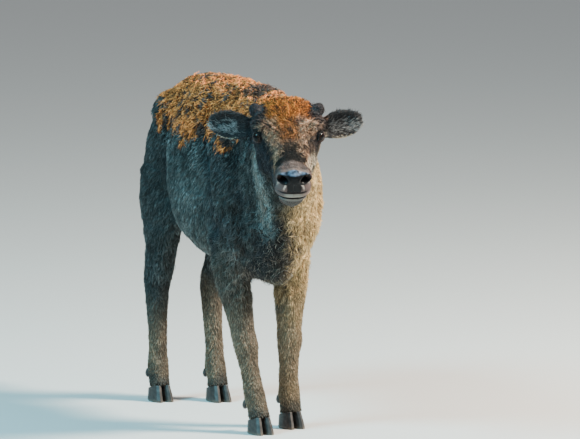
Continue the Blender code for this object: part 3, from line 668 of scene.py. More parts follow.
def sculpted(points, normals):
    given = faceSettings
    out, forward, up = headPlace(points)
    side, way = np.abs(out), np.sign(out)
    push = np.zeros(len(points))
    aboveJaw = points[:, 2] > 0.58
    muzzle = ramp(0.205, 0.235, forward) * aboveJaw
    # folds of the brow: two creases that run in from above the eye towards the bridge of the nose
    brow = (points[:, 2] > 0.6) * ramp(0.014, 0.024, side) * ramp(0.098, 0.084, side) * ramp(-0.03, -0.01, up)
    for shift, deep in given["browFolds"]:
        line = forward - (0.118 + shift - 0.6 * side + 0.004 * np.sin(side * 90))
        push += brow * deep * (0.55 * hill(line, -0.005, 0.0045) - hill(line, 0.0, 0.0022))
    # upper lip: a groove under the nose pad, then a full pale margin, and the lower lip under the slit
    line = up - mouthLine(forward)
    front = ramp(0.235, 0.262, forward) * aboveJaw
    lip = given["upperLip"]
    push += front * (lip * hill(line, 0.008, 0.0042) - lip * hill(line, 0.018, 0.0018))
    push += front * given["lowerLip"] * hill(line, -0.005, 0.0036)
    push -= (muzzle * given["lipCleft"] * hill(out, 0, 0.0014) * ramp(-0.018, -0.026, up)
             * ramp(-0.052, -0.046, up))
    slit = ramp(0.15, 0.185, forward) * aboveJaw
    deep = given["mouthDeep"] * (0.35 + 0.65 * ramp(0.21, 0.26, forward))
    push -= slit * deep * hill(line, 0, given["mouthWide"])
    push += slit * (1 - front) * given["lipEdge"] * (hill(line, 0.005, 0.003) + hill(line, -0.005, 0.003))
    # nostrils: comma-shaped pits that wrap round the corner of the muzzle, with a raised wing above and outside
    ring = nostrilPlace(out, forward, up)
    pit = muzzle * (1 - ramp(0.7, 1.08, ring))
    inward = np.stack([-0.35 * way, np.full(len(way), 1.0), np.full(len(way), 0.1)], axis=1) @ headAxes.T
    wing = ramp(-0.03, -0.014, up + 0.2 * (side - 0.03))
    push += muzzle * given["nostrilWing"] * hill(ring, 1.28, 0.2) * wing
    points = points + normals * push[:, None] + inward * (pit * given["nostrilDeep"])[:, None]
    for side, turn in sides:
        points = lidded(points, side, turn)
    return points


def lidded(points, side, turn):
    # near the eye the distance from its middle is set: inside the slit the skin drops behind the eyeball, at
    # the slit's edge it stands proud of it, and further out it runs into the head's own surface
    slit, v, toward, far = slitPlace(points, side, turn)
    way = (points - eyeMiddles[side]) / np.maximum(far, 1e-9)[:, None]
    given = faceSettings
    edge = eyeRadius + given["lidProud"]
    lid = edge + given["lidRim"] * hill(slit, 0.0022, 0.0016) - given["lidFold"] * hill(slit, 0.0062, 0.0013)
    target = np.where(slit < 0, edge - (edge - 0.8 * eyeRadius) * ramp(0.0, -0.0011, slit), lid)
    share = ramp(0.0115, 0.003, slit) * ramp(0.05, 0.3, toward)
    share = share * ramp(eyeRadius + 0.016, eyeRadius + 0.008, far)
    return eyeMiddles[side] + way * (far + (target - far) * share)[:, None]


def thinBody(piece, given):
    # the body, hidden by the coat, gets fewer faces, and the head keeps all of its own
    points, corners = meshArrays(piece.data)
    share = 1 - ramp(-0.02, 0.02, headPlace(points)[1]) * (points[:, 2] > 0.585)
    group = piece.vertex_groups.new(name="body")
    steps = np.round(share * 4) / 4
    for value in np.unique(steps[steps > 0]):
        group.add(np.flatnonzero(steps == value).tolist(), float(value), "REPLACE")
    decimate = piece.modifiers.new("thin", "DECIMATE")
    decimate.vertex_group = "body"
    onHead = np.count_nonzero(steps[corners[:, 0]] == 0)
    decimate.ratio = (onHead + given["bodyTriangles"]) / len(corners)
    applied(piece)
    piece.vertex_groups.clear()
    stage("skin thinned: %d triangles" % len(meshArrays(piece.data)[1]))


def bodyRelief(points, given):
    # how far the skin sinks below the smooth body: its folds and soft hollows
    shoulder, haunch, neck, body = creases(points, 1.0)
    hollows = ramp(-0.2, 0.9, clumps(points, 0.055, 61)) + 0.5 * ramp(0.0, 0.9, clumps(points, 0.026, 62))
    deep = given["folds"]
    return deep[0] * shoulder + deep[1] * haunch + deep[2] * neck + given["hollows"] * body * hollows


def makeSkin(given):
    skin = newPiece("skin", joinedFlesh(given))
    remesh = skin.modifiers.new("remesh", "REMESH")
    remesh.mode = "VOXEL"
    remesh.voxel_size = given["voxel"]
    mesh = applied(skin)
    stage("skin joined: %d faces" % len(mesh.polygons))
    points, edges = meshArrays(mesh)[0], meshEdges(mesh)
    (out, forward), z = headPlace(points)[:2], points[:, 2]
    fine = np.maximum(ramp(0.0, 0.05, forward) * ramp(0.56, 0.6, z), earShare(out, forward, z))
    points = smoothed(points, edges, given["rounds"], 0.6, 1 - 0.55 * fine)
    setPoints(mesh, points)
    points = points - vertexNormals(mesh) * (coatDepth(points) + bodyRelief(points, given))[:, None]
    setPoints(mesh, smoothed(points, edges, 2, 0.5, 1 - 0.6 * fine))
    stage("skin set in by the coat's depth")
    for size, reach in zip(("coarse", "middle", "fine"), given["zones"]):
        refine(mesh, zoneShare(meshArrays(mesh)[0], size, reach))
    points = meshArrays(mesh)[0]
    near = zoneShare(points, "coarse", given["zones"][0]).astype(float)
    points = smoothed(points, meshEdges(mesh), 4, 0.5, near)
    setPoints(mesh, points)
    setPoints(mesh, sculpted(points, vertexNormals(mesh)))
    stage("face sculpted: %d faces" % len(mesh.polygons))
    thinBody(skin, given)
    return declared(skin, "coat", *fleshNodes)


def unwrapSkin(piece):
    bpy.ops.object.select_all(action="DESELECT")
    piece.select_set(True)
    bpy.context.view_layer.objects.active = piece
    piece.data.uv_layers.new(name="OFBake")
    bpy.ops.object.mode_set(mode="EDIT")
    bpy.ops.mesh.select_all(action="SELECT")
    bpy.ops.uv.smart_project(angle_limit=math.radians(70), island_margin=0.001)
    bpy.ops.object.mode_set(mode="OBJECT")
    stage("skin unwrapped")


def paintSkin(piece):
    # the coat's colours, darker under the tufts, and how wet the bare skin is
    points = meshArrays(piece.data)[0]
    tone = markings(points, vertexNormals(piece.data)) * (0.5 + 0.5 * bareness(points))[:, None]
    wet = noseTones(tone, headPlace(points), 0, 0)[1] * (points[:, 2] > 0.6)
    for slit, v, toward, far in eyeSlits(points):
        wet = np.maximum(wet, 0.25 * ramp(0.0022, 0.0008, slit) * (toward > 0.1) * (far < eyeRadius + 0.006))
    coloured(piece.data, tone)
    attribute = piece.data.attributes.new("wet", "FLOAT", "POINT")
    attribute.data.foreach_set("value", wet.astype(np.float32))


skin = makeSkin(skinSettings)
unwrapSkin(skin)
paintSkin(skin)

coatSettings = {"seed": 11, "thick": 0.98, "sink": 0.065, "patch": 0.003, "mostTriangles": 196000,
                "lockWide": 0.0085, "step": 0.002, "brightest": 0.88, "bend": 0.1, "rise": 1.45, "fall": 0.85,
                "swell": (0.72, 1.1, 1.45), "keel": 0.75, "rootShade": 0.42}
coatParts = ["coatHead", "coatFace", "coatEars", "coatNeck", "coatChest", "coatBack", "coatFlankLeft",
             "coatFlankRight", "coatRump", "coatForelegs", "coatHindlegs", "coatTail"]


def coatPart(points):
    # the number of the coat piece that each point belongs to: the last region that holds it counts
    (out, forward), (x, y, z) = headPlace(points)[:2], points.T
    left, belly = x > bodyMiddle, (z >= 0.38) & (z < 0.44) & (y < 0.24) & (y > -0.02)
    part = np.full(len(points), coatParts.index("coatFlankRight"))
    for name, region in (("coatFlankLeft", left), ("coatBack", (z > 0.7) & (y > -0.2)), ("coatRump", y > 0.33),
                         ("coatNeck", y < -0.19), ("coatChest", (y < -0.02) & (z < 0.56)),
                         ("coatHindlegs", z < 0.44), ("coatForelegs", (z < 0.44) & (y < 0.1)),
                         ("coatFlankRight", belly), ("coatFlankLeft", belly & left),
                         ("coatTail", (y > 0.545) & (np.abs(x - bodyMiddle) < 0.03)),
                         ("coatHead", (forward > -0.005) & (z > 0.59)),
                         ("coatFace", (forward > 0.125) & (z > 0.59)),
                         ("coatEars", earShare(out, forward, z) > 0.3)):
        part = np.where(region, coatParts.index(name), part)
    return part


def skinSurface(piece):
    mesh = piece.data
    points, corners = meshArrays(mesh)
    flat = listed(mesh.uv_layers["OFBake"].data, "uv", 2, np.float32)
    return points, corners, vertexNormals(mesh), flat[listed(mesh.loop_triangles, "loops", 3, np.int32)]


def scatterRoots(surface, density, random):
    # roots on every triangle in proportion to its area and to the wanted number to the square metre there
    points, corners, normals, uv = surface
    a, b, c = (points[corners[:, k]] for k in range(3))
    across = np.cross(b - a, c - a)
    wanted = np.linalg.norm(across, axis=1) / 2 * density((a + b + c) / 3, unit(across))
    number = np.floor(wanted + random.random(len(wanted))).astype(int)
    chosen = np.repeat(np.arange(len(corners)), number)
    r1, r2 = np.sqrt(random.random(len(chosen))), random.random(len(chosen))
    weights = np.stack([1 - r1, r1 * (1 - r2), r1 * r2], axis=1)
    place, facing, flat = (np.einsum("nk,nkj->nj", weights, values) for values in
                           (points[corners[chosen]], normals[corners[chosen]], uv[chosen]))
    return {"place": place, "facing": unit(facing), "uv": flat}


def locks(points):
    return 0.8 * clumps(points, 0.018, 31) + 0.7 * clumps(points, 0.0085, 32)


def undercoat(surface, random):
    # the short coat: tufts lean towards the middle of the lock they belong to, so gaps open between the locks
    tufts = scatterRoots(
        surface, lambda p, n: coatShape(p)["density"] * coatSettings["thick"] * (1 - bareness(p)), random)
    place, facing = tufts["place"], tufts["facing"]
    shape = coatShape(place)
    count = len(place)
    here = locks(place)
    step = coatSettings["step"]
    slope = np.stack([locks(place + np.eye(3)[k] * step) - here for k in range(3)], axis=1) / step
    slope = alongSkin(slope * coatSettings["lockWide"], facing)
    steep = np.linalg.norm(slope, axis=1, keepdims=True)
    way = unit(hairWay(place, facing) + slope / np.maximum(1, steep) * shape["lean"][:, None])
    swirl = clumps(place, 0.022, 21) * 0.6 + clumps(place, 0.009, 22) * 0.6
    angle = shape["spread"] * (swirl + random.normal(0, 0.4, count))
    way = way * np.cos(angle)[:, None] + np.cross(way, facing) * np.sin(angle)[:, None]
    noise = random.normal(0, 1, (count, 4)).clip(-2, 2)
    shape["length"] = shape["length"] * (1 + 0.2 * noise[:, 0] + 0.1 * here)
    shape["width"] = shape["width"] * (0.72 + 0.56 * random.random(count))
    raised = 1 + 0.32 * here * (0.4 + shape["lean"]) + 0.22 * noise[:, 1]
    shape["lift"] = shape["lift"] * raised.clip(0.25, 1.8)
    shape["curl"] = shape["curl"] * (0.6 * noise[:, 2] + 0.9 * clumps(place, 0.012, 33))
    uneven = 0.85 * noise[:, 3] + 1.05 * here * (0.3 + shape["lean"])
    light = np.exp(shape["contrast"] * uneven - 0.4 * shape["contrast"] ** 2)
    tone = markings(place, facing) * np.minimum(light, 2.0)[:, None]
    # the brightest tufts are dimmed as a whole, so that they keep their hue
    tone = tone / np.maximum(1, tone.max(axis=1, keepdims=True) / coatSettings["brightest"])
    tufts.update(way=unit(way), shape=shape, tone=tone, tip=tone * (1.1 + 0.2 * random.random((count, 1))))
    return tufts


def longHairs(surface, given, random):
    # one group of longer hairs: where it grows, how it lies and its tones come from the group's own settings
    tufts = scatterRoots(surface, lambda p, n: given["density"] * given["where"](p, n), random)
    place, facing = tufts["place"], tufts["facing"]
    count = len(place)
    noise = random.normal(0, 1, (count, 5)).clip(-2, 2)
    way = alongSkin(given["way"](place) + noise[:, :3] * given["spread"], facing)
    shape = {"length": given["length"] * (1 + 0.22 * noise[:, 3]),
             "width": given["width"] * (0.7 + 0.6 * random.random(count)),
             "lift": given["lift"] * (1 + 0.3 * noise[:, 4]).clip(0.2, 2),
             "curl": given["curl"] * random.normal(0, 1, count).clip(-2, 2)}
    pick = random.random((count, 1))
    low, high = np.array(given["tones"])
    tone = low + (high - low) * np.clip((pick - given["split"]) * 3 + 0.5, 0, 1)
    tufts.update(way=unit(way), shape=shape, tone=tone, tip=tone * (1.2 + 0.3 * random.random((count, 1))))
    return tufts


def onEar(points, normals):
    out, forward, up = headPlace(points)
    return (earShare(out, forward, points[:, 2]) > 0.6, *earPlace((out, forward, up), normals))


def innerEar(points, normals):
    ear, along, across, inside = onEar(points, normals)
    return (ear * (inside > 0.5) * ramp(0.2, 0.45, along) * ramp(0.55, 0.15, across)
            * ramp(-0.75, -0.4, across) * ramp(-0.4, 0.3, clumps(points, 0.01, 41)))


def upperRim(points, normals):
    ear, along, across = onEar(points, normals)[:3]
    return ear * ramp(0.72, 0.9, across) * ramp(0.1, 0.3, along)


def lowerRim(points, normals):
    ear, along, across = onEar(points, normals)[:3]
    return ear * np.where(headPlace(points)[0] > 0, 1.0, 0.35) * np.maximum(
        ramp(-0.68, -0.86, across) * ramp(0.3, 0.5, along), 0.7 * ramp(0.93, 1.0, along))


def brisket(points, normals):
    x, y, z = points.T
    low = ramp(0.56, 0.47, z) * ramp(0.365, 0.39, z) * ramp(-0.1, -0.15, y)
    return low * ramp(0.065, 0.025, np.abs(x - 0.02)) * (headPlace(points)[1] < 0.2)


def throat(points, normals):
    none = 0 * points[:, 0]
    strip = headTones(headPlace(points), none, none, none)[1]
    return (strip > 0.35) * ramp(0.45, 0.5, points[:, 2])


def switch(points, normals):
    return (coatPart(points) == coatParts.index("coatTail")) * ramp(0.6, 0.5, points[:, 2])


def outAndUp(a, b):
    # along the ear to its tip, and across it
    return lambda p: a * np.sign(headPlace(p)[0])[:, None] * headAxes[:, 0] + b * headWay(0, -0.52, 0.85)


def down(points):
    return np.tile([0.0, 0.15, -1.0], (len(points), 1))


darkEar, paleEar = coatTones["ear"], (0.25, 0.26, 0.26)
longKeys = ("where", "density", "way", "length", "width", "lift", "curl", "spread", "split", "rings", "tones")
longGroups = {  # pale hairs inside the ears, a dark fringe above and a pale one below, brisket, throat and tail
    "coatEarsLong1": (innerEar, 300000.0, outAndUp(1.0, 0.45), 0.017, 0.0007, 0.22, 0.3, 0.2, 0.44, 2,
                      (darkEar, paleEar)),
    "coatEarsLong2": (upperRim, 110000.0, outAndUp(0.75, 0.85), 0.0115, 0.0012, 0.3, 0.3, 0.22, 0.6, 2,
                      (darkEar, (0.05, 0.045, 0.045))),
    "coatEarsLong3": (lowerRim, 150000.0, outAndUp(1.0, -0.25), 0.0075, 0.0011, 0.25, 0.15, 0.16, 0.35, 2,
                      (paleEar, coatTones["cream"])),
    "coatBrisketLong1": (brisket, 70000.0, down, 0.022, 0.0014, 0.36, 0.85, 0.42, 0.74, 2,
                         ((0.01, 0.01, 0.011), (0.3, 0.27, 0.23))),
    "coatThroatLong1": (throat, 42000.0, down, 0.03, 0.0017, 0.16, 0.12, 0.08, 0.5, 3,
                        ((0.075, 0.08, 0.075), (0.19, 0.2, 0.185))),
    "coatSwitchLong1": (switch, 60000.0, down, 0.04, 0.0021, 0.16, 0.3, 0.12, 0.5, 3,
                        (coatTones["rump"], coatTones["flank"]))}


def tuftMesh(name, tufts, rings):
    # each tuft is a closed three-sided lock: its centre leaves the skin at the lift angle, bends back along its
    # way and sways aside with the square of the distance, and its width swells, then runs out to a point
    place, facing, way, shape = (tufts[key] for key in ("place", "facing", "way", "shape"))
    count, per = len(place), 3 * rings + 1
    side = np.cross(way, facing)
    length, lift, sway = (shape[key][:, None] for key in ("length", "lift", "curl"))
    half = shape["width"][:, None] / 2
    given = coatSettings
    verts, tones = np.zeros((count, per, 3)), np.zeros((count, per, 3))
    across, along = np.full(per, 0.5), np.ones(per)
    for k, s in enumerate(np.linspace(0, 1, rings + 1)):
        centre = (place + way * length * np.cos(lift) * (s - given["bend"] * s * s)
                  + side * length * sway * s * s
                  + facing * (length * (np.sin(lift) * given["rise"] * s - np.sin(lift) * given["fall"] * s * s)
                              - length * given["sink"] * (1 - s)))
        if k == rings:
            verts[:, per - 1], tones[:, per - 1] = centre, tufts["tip"]
            continue
        wide = half * (given["swell"][0] + given["swell"][1] * s - given["swell"][2] * s * s)
        verts[:, 3 * k:3 * k + 3] = np.stack([centre - side * wide, centre + side * wide,
                                              centre + facing * wide * given["keel"]], axis=1)
        colour = tufts["tone"] + (tufts["tip"] - tufts["tone"]) * s
        shade = given["rootShade"] + (1 - given["rootShade"]) * min(1, s * 2)
        tones[:, 3 * k:3 * k + 3] = (colour * shade)[:, None, :]
        across[3 * k:3 * k + 3], along[3 * k:3 * k + 3] = (0, 1, 0.5), s
    faces, around = [(0, 1, 2)], ((0, 1), (1, 2), (2, 0))
    for low in range(0, 3 * rings - 3, 3):
        for p, q in around:
            faces += [(low + q, low + p, low + 3 + p), (low + q, low + 3 + p, low + 3 + q)]
    faces += [(per - 4 + q, per - 4 + p, per - 1) for p, q in around]
    faces = np.array(faces).ravel()
    corners = (faces[None, :] + np.arange(count)[:, None] * per).ravel()
    mesh = bpy.data.meshes.new(name)
    mesh.vertices.add(count * per)
    mesh.vertices.foreach_set("co", verts.astype(np.float32).ravel())
    mesh.loops.add(len(corners))
    mesh.loops.foreach_set("vertex_index", corners.astype(np.int32))
    mesh.polygons.add(len(corners) // 3)
    mesh.polygons.foreach_set("loop_start", np.arange(0, len(corners), 3, dtype=np.int32))
    mesh.update(calc_edges=True)
    coloured(mesh, tones.reshape(-1, 3))
    patch = np.stack([across - 0.5, along - 0.5], axis=1) * given["patch"]
    spots = tufts["uv"][:, None, :] + patch[None, faces, :]
    layer = mesh.uv_layers.new(name="OFBake")
    layer.data.foreach_set("uv", np.clip(spots, 0, 1).astype(np.float32).ravel())
    return mesh


def picked(tufts, some):
    return {key: picked(value, some) if key == "shape" else value[some] for key, value in tufts.items()}


def tuftPieces(name, tufts, rings):
    # the tufts of one region as one piece, or as several where they would pass the limit of triangles
    triangles = 6 * rings - 2
    count = len(tufts["place"])
    pieces = int(np.ceil(count * triangles / coatSettings["mostTriangles"]))
    order = np.argsort(tufts["place"][:, 1], kind="stable")
    made = []
    for k in range(pieces):
        some = order[k * count // pieces:(k + 1) * count // pieces]
        label = name if pieces == 1 else "%s%d" % (name, k + 1)
        made.append(declared(newPiece(label, tuftMesh(label, picked(tufts, some), rings)), "coat"))
        print("       %s: %d tufts, %d triangles" % (label, len(some), len(some) * triangles))
    return made


def growCoat(surface, settings):
    random = np.random.default_rng(settings["seed"])
    tufts = undercoat(surface, random)
    part = coatPart(tufts["place"])
    made = []
    for number, name in enumerate(coatParts):
        made += tuftPieces(name, picked(tufts, part == number), 2)
    stage("short coat grown: %d tufts" % len(part))
    for name, values in longGroups.items():
        given = dict(zip(longKeys, values))
        made += tuftPieces(name, longHairs(surface, given, random), given["rings"])
    stage("long hair grown")
    return made


skinFaces = skinSurface(skin)
coatPieces = growCoat(skinFaces, coatSettings)


def nearUv(places, reach=0.16):
    # the place on the skin's unwrap of the skin point nearest to each given place
    points, corners, normals, uv = skinFaces
    near = (np.abs(points - places.mean(axis=0)) < reach).all(axis=1)[corners[:, 0]]
    middles, spots = points[corners[near]].mean(axis=1)[::3], uv[near].mean(axis=1)[::3]
    return np.array([spots[np.argmin(((middles - place) ** 2).sum(axis=1))] for place in places])


def ownMesh(node, rounds):
    # a copy of a node's mesh with its loose triangles merged and cut into finer faces
    def split(work):
        bmesh.ops.remove_doubles(work, verts=work.verts, dist=skinSettings["merge"])
        for turn in range(rounds):
            bmesh.ops.subdivide_edges(work, edges=list(work.edges), cuts=1, use_grid_fill=True)
            bmesh.ops.triangulate(work, faces=list(work.faces))

    return edited(frame["nodes"][node].data.copy(), split)


eyeSettings = {"rows": 72, "columns": 96, "cornea": 0.0007, "inset": 0.0004, "pupil": (0.5, 0.3), "iris": 1.05,
               "black": (0.003, 0.003, 0.004), "brown": (0.014, 0.007, 0.004), "white": (0.01, 0.007, 0.006)}


def makeEye(side, turn, given):
    # a ball whose front swells into the cornea; a wide pupil lies in a dark iris, and the white is browned
    gaze, along, over = eyeAxes(turn)
    rows, columns = given["rows"] - 1, given["columns"]
    polar = np.linspace(0, math.pi, rows + 2)[1:-1]
    around = np.arange(columns) * 2 * math.pi / columns
    a, b = np.meshgrid(polar, around, indexing="ij")
    a, b = np.append(a.ravel(), [0, math.pi]), np.append(b.ravel(), [0, 0])
    ahead, aside, above = np.cos(a), np.sin(a) * np.cos(b), np.sin(a) * np.sin(b)
    way = ahead[:, None] * gaze + aside[:, None] * along + above[:, None] * over
    size = eyeRadius - given["inset"] + given["cornea"] * ramp(1.0, 0.3, a)
    j = np.arange(columns)
    k, first = (j + 1) % columns, rows * columns
    faces = [face for i in range(0, first - columns, columns)
             for face in np.stack([i + j, i + columns + j, i + columns + k, i + k], axis=1).tolist()]
    faces += np.stack([first + 0 * j, j, k], axis=1).tolist()
    faces += np.stack([first + 1 + 0 * j, first - columns + k, first - columns + j], axis=1).tolist()
    mesh = bpy.data.meshes.new("eyeBall")
    mesh.from_pydata((eyeMiddles[side] + way * size[:, None]).tolist(), [], faces)
    edited(mesh, lambda work: bmesh.ops.recalc_face_normals(work, faces=work.faces))
    pupil = np.hypot(aside / given["pupil"][0], above / given["pupil"][1])
    iris = given["iris"]
    tones = np.array(given["brown"]) * (0.8 + 0.4 * np.sin(b * 31)[:, None] ** 2)
    for key, mask in (("black", ramp(1.12, 0.94, pupil)), ("black", ramp(iris - 0.16, iris, a)),
                      ("white", ramp(iris, iris + 0.08, a))):
        tones = blend(tones, given[key], mask)
    coloured(mesh, tones)
    return declared(newPiece("eyeBall" + side.title(), mesh), "eye", "eye_" + side)


eyePieces = [makeEye(side, turn, eyeSettings) for side, turn in sides]

lashSettings = {"count": 46, "length": 0.009, "width": 0.0008, "lift": 0.3, "curl": 0.15, "from": -0.8,
                "to": 0.78, "proud": 0.0016, "tone": (0.012, 0.01, 0.01), "seed": 5}


def makeLashes(given):
    # curved hairs that stand along the edge of each upper lid and sweep outward and down
    random = np.random.default_rng(given["seed"])
    count = given["count"]
    parts = []
    for side, turn in sides:
        gaze, along, over = eyeAxes(turn)
        u = np.linspace(given["from"], given["to"], count) + random.normal(0, 0.012, count)
        v = faceSettings["upperLid"] * np.maximum(0.02, 1 - (u / faceSettings["lidLong"]) ** 2) ** 0.75
        way = unit(gaze + np.tan(u)[:, None] * along + np.tan(v + 0.05)[:, None] * over)
        facing = unit(over + 0.2 * random.normal(0, 1, (count, 3)) * 0.3)
        swing = unit(way + 0.35 * u[:, None] * along + 0.12 * random.normal(0, 1, (count, 3)))
        length = given["length"] * (0.75 + 0.5 * random.random(count))
        root = eyeMiddles[side] + way * (eyeRadius + given["proud"])
        parts.append((root, facing, unit(alongSkin(swing, facing)), length))
    place, facing, way, length = (np.concatenate(values) for values in zip(*parts))
    shape = {key: np.full(len(place), given[key]) for key in ("width", "lift", "curl")}
    tone = np.tile(given["tone"], (len(place), 1))
    tufts = {"place": place, "facing": facing, "way": way, "uv": nearUv(place),
             "shape": dict(shape, length=length), "tone": tone, "tip": tone}
    return declared(newPiece("lashes", tuftMesh("lashes", tufts, 3)), "coat")


lashes = makeLashes(lashSettings)

hornSettings = {"split": 2, "rounds": 6, "rings": 0.0034, "ringDeep": 0.00022, "covered": 1.02,
                "density": 190000.0, "axis": (0.55, -0.3, 0.78), "length": 0.0105, "width": 0.0016,
                "lift": 0.18, "tone": (0.012, 0.012, 0.014), "hairTone": (0.022, 0.019, 0.021), "seed": 17}


def makeHorn(side, turn, given):
    # a smooth bud with faint rings across it, whose lower part is hidden in dark hair
    mesh = ownMesh("horn_" + side, given["split"])
    points = smoothed(meshArrays(mesh)[0], meshEdges(mesh), given["rounds"], 0.5)
    axis = headWay(given["axis"][0] * turn, *given["axis"][1:])
    rise = points @ axis
    low, high = rise.min(), rise.max()
    share = (rise - low) / (high - low)
    setPoints(mesh, points)
    normals = vertexNormals(mesh)
    ripple = given["ringDeep"] * np.sin(rise / given["rings"] * 2 * math.pi) * ramp(0.95, 0.7, share)
    points = points + normals * ripple[:, None]
    setPoints(mesh, points)
    coloured(mesh, np.array(given["tone"]) * (1 + 0.9 * ramp(0.75, 1.0, share))[:, None])
    bud = declared(newPiece("hornBud" + side.title(), mesh), "horn", "horn_" + side)
    random = np.random.default_rng(given["seed"] + turn)
    corners = meshArrays(mesh)[1]

    def density(p, n):
        grown = (p @ axis - low) / (high - low)
        return given["density"] * ramp(given["covered"], given["covered"] - 0.25, grown)

    tufts = scatterRoots((points, corners, normals, np.full((len(corners), 3, 2), 0.5)), density, random)
    count = len(tufts["place"])
    way = unit(alongSkin(axis + 0.25 * random.normal(0, 1, (count, 3)), tufts["facing"]))
    noise = random.normal(0, 1, (count, 3)).clip(-2, 2)
    tone = np.array(given["hairTone"]) * np.exp(0.35 * noise[:, :1])
    shape = {"length": given["length"] * (1 + 0.25 * noise[:, 1]), "width": np.full(count, given["width"]),
             "lift": given["lift"] * (1 + 0.3 * noise[:, 2]), "curl": 0.25 * noise[:, 0]}
    tufts.update(uv=nearUv(tufts["place"]), way=way, shape=shape, tone=tone, tip=tone * 1.6)
    return bud, tuftPieces("coatHorn" + side.title(), tufts, 2)


hornBuds, hornHair = zip(*[makeHorn(side, turn, hornSettings) for side, turn in sides])
stage("eyes, lashes and horns made")

hoofSettings = {"split": 3, "dewclawSplit": 2, "rounds": 5, "rings": 0.003, "ringDeep": 0.00016, "sole": 0.004,
                "tone": (0.03, 0.026, 0.024), "worn": (0.13, 0.105, 0.08)}


def makeHoof(node, given):
    # a hoof or dewclaw smoothed all over but for its flat sole, with rings that run parallel to the hair line
    mesh = ownMesh(node, given["split"] if node.startswith("hoof") else given["dewclawSplit"])
    start = meshArrays(mesh)[0]
    keep = ramp(0.0, given["sole"], start[:, 2])
    points = smoothed(start, meshEdges(mesh), given["rounds"], 0.5, keep)
    setPoints(mesh, points)
    normals = vertexNormals(mesh)
    level = points[:, 2] + 0.25 * (points[:, 1] - points[:, 1].mean()) + 0.0012 * clumps(points, 0.012, 51)
    high = points[:, 2].max()
    rings = np.sin(level / given["rings"] * 2 * math.pi)
    ripple = given["ringDeep"] * rings * (np.abs(normals[:, 2]) < 0.8)
    points = points + normals * (ripple * keep)[:, None]
    points[:, 2] = np.maximum(points[:, 2], start[:, 2].min())
    setPoints(mesh, points)
    grain = clumps(points * [1, 1, 0.2], 0.0045, 52)
    share = np.clip(points[:, 2] / max(high, 1e-6), 0, 1)
    tones = np.array(given["tone"]) * (1 + 0.3 * grain + 0.25 * rings)[:, None]
    coloured(mesh, blend(tones, given["worn"], 0.55 * ramp(0.22, 0.02, share + 0.08 * grain)))
    return declared(newPiece("horn" + node.title().replace("_", ""), mesh), "hoof", node)


hoofPieces = [makeHoof(node, hoofSettings) for node in hoofNodes]
stage("hooves made")


def newMaterial(name):
    material = bpy.data.materials.new(name)
    material.use_nodes = True
    return material, material.node_tree.nodes, material.node_tree.links


def preset(node, **values):
    # fixed values of a node's sockets, each named with _ for a space
    for key, value in values.items():
        node.inputs[key.replace("_", " ")].default_value = value
    return node


def wire(links, *runs):
    for source, output, target, socket in runs:
        links.new(source.outputs[output], target.inputs[socket])


def grainGroup():
    # a colour varied by fine and coarse noise, and a height for the bump that goes with it
    group = bpy.data.node_groups.new("grain", "ShaderNodeTree")
    for name, kind, way in (("Color", "Color", "INPUT"), ("Size", "Float", "INPUT"),
                            ("Share", "Float", "INPUT"), ("Color", "Color", "OUTPUT"),
                            ("Height", "Float", "OUTPUT")):
        group.interface.new_socket(name=name, in_out=way, socket_type="NodeSocket" + kind)
    given, made, place, noise, spread, scaled = (group.nodes.new(kind) for kind in (
        "NodeGroupInput", "NodeGroupOutput", "ShaderNodeTexCoord", "ShaderNodeTexNoise", "ShaderNodeMapRange",
        "ShaderNodeMix"))
    preset(noise, Detail=3)
    preset(spread, From_Min=0.3, From_Max=0.7, To_Min=0.55, To_Max=1.45)
    scaled.data_type, scaled.blend_type = "RGBA", "MULTIPLY"
    wire(group.links, (place, "Object", noise, "Vector"), (given, "Size", noise, "Scale"),
         (noise, "Fac", spread, "Value"), (given, "Share", scaled, "Factor"), (given, "Color", scaled, "A"),
         (spread, "Result", scaled, "B"), (scaled, "Result", made, "Color"), (noise, "Fac", made, "Height"))
    return group


grain = grainGroup()


def paintedMaterial(name, size, share, bump, **fixed):
    # the piece's own painted colour, roughened by the grain group; fixed values go straight to the sockets
    material, nodes, links = newMaterial(name)
    shader = preset(nodes["Principled BSDF"], **fixed)
    colour, rough = nodes.new("ShaderNodeAttribute"), nodes.new("ShaderNodeGroup")
    colour.attribute_name = "coatColour"
    rough.node_tree = grain
    preset(rough, Size=size, Share=share)
    wire(links, (colour, "Color", rough, "Color"), (rough, "Color", shader, "Base Color"))
    if bump:
        raised = preset(nodes.new("ShaderNodeBump"), Strength=0.6, Distance=bump)
        wire(links, (rough, "Height", raised, "Height"), (raised, "Normal", shader, "Normal"))
    return material


def skinMaterial():
    # bare skin is glossy where the wet attribute is high, on the nose pad, the lips and the lids
    material = paintedMaterial("bareSkin", 1100, 0.35, 0.0003, Specular_IOR_Level=0.11)
    nodes = material.node_tree.nodes
    wet, level = nodes.new("ShaderNodeAttribute"), nodes.new("ShaderNodeMapRange")
    wet.attribute_name = "wet"
    preset(level, To_Min=0.62, To_Max=0.22)
    wire(material.node_tree.links, (wet, "Fac", level, "Value"),
         (level, "Result", nodes["Principled BSDF"], "Roughness"))
    return material


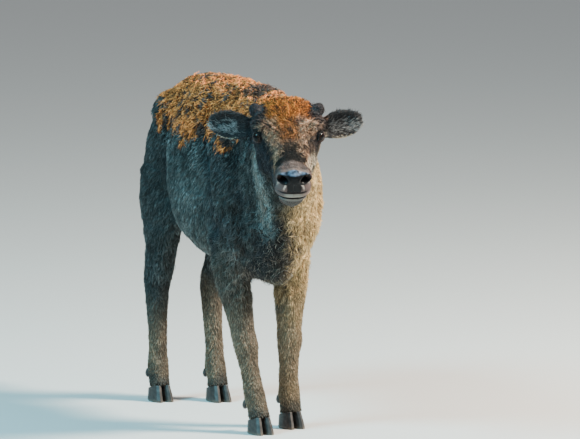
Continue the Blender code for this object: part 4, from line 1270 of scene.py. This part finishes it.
def dress(finish, *pieces):
    for piece in pieces:
        piece.data.materials.clear()
        piece.data.materials.append(finish)


dress(skinMaterial(), skin)
dress(paintedMaterial("fur", 260, 0.55, 0, Roughness=0.62, Specular_IOR_Level=0.16),
      *coatPieces, *[piece for pieces in hornHair for piece in pieces], lashes)
dress(paintedMaterial("wetEye", 300, 0.1, 0, Roughness=0.07, Specular_IOR_Level=0.1), *eyePieces)
dress(paintedMaterial("youngHorn", 900, 0.6, 0.0003, Roughness=0.6, Specular_IOR_Level=0.3), *hornBuds)
dress(paintedMaterial("hoofHorn", 420, 0.6, 0.0004, Roughness=0.5, Specular_IOR_Level=0.4), *hoofPieces)

floorHalf = 30
floorMesh = bpy.data.meshes.new("floor")
floorMesh.from_pydata([(-floorHalf, -floorHalf, 0), (floorHalf, -floorHalf, 0), (floorHalf, floorHalf, 0),
                       (-floorHalf, floorHalf, 0)], [], [(0, 1, 2, 3)])
floor = newPiece("floor", floorMesh)
floorFinish, floorNodes = newMaterial("paleFloor")[:2]
preset(floorNodes["Principled BSDF"], Base_Color=(0.62, 0.62, 0.6, 1), Roughness=0.85)
dress(floorFinish, floor)

lightSettings = {"keyLight": {"from": (62, 42), "size": 1.2, "power": 850, "colour": (1.0, 0.91, 0.78)},
                 "fillLight": {"from": (-82, 42), "size": 1.8, "power": 460, "colour": (0.26, 0.8, 1.0)},
                 "frontLight": {"from": (-10, 25), "size": 3.0, "power": 18, "colour": (0.95, 0.97, 1.0)}}
lightDistance, lightTarget = 5.0, Vector((0, 0, 0.5))
for name, given in lightSettings.items():
    lamp = bpy.data.lights.new(name, "AREA")
    lamp.shape, lamp.size, lamp.energy, lamp.color = "DISK", given["size"], given["power"], given["colour"]
    back = seenFrom(*given["from"])
    aimed(newPiece(name, lamp), lightTarget + back * lightDistance, back)
world = bpy.data.worlds.new("world")
world.use_nodes = True
preset(world.node_tree.nodes["Background"], Color=(0.86, 0.9, 0.95, 1), Strength=0.42)
bpy.context.scene.world = world
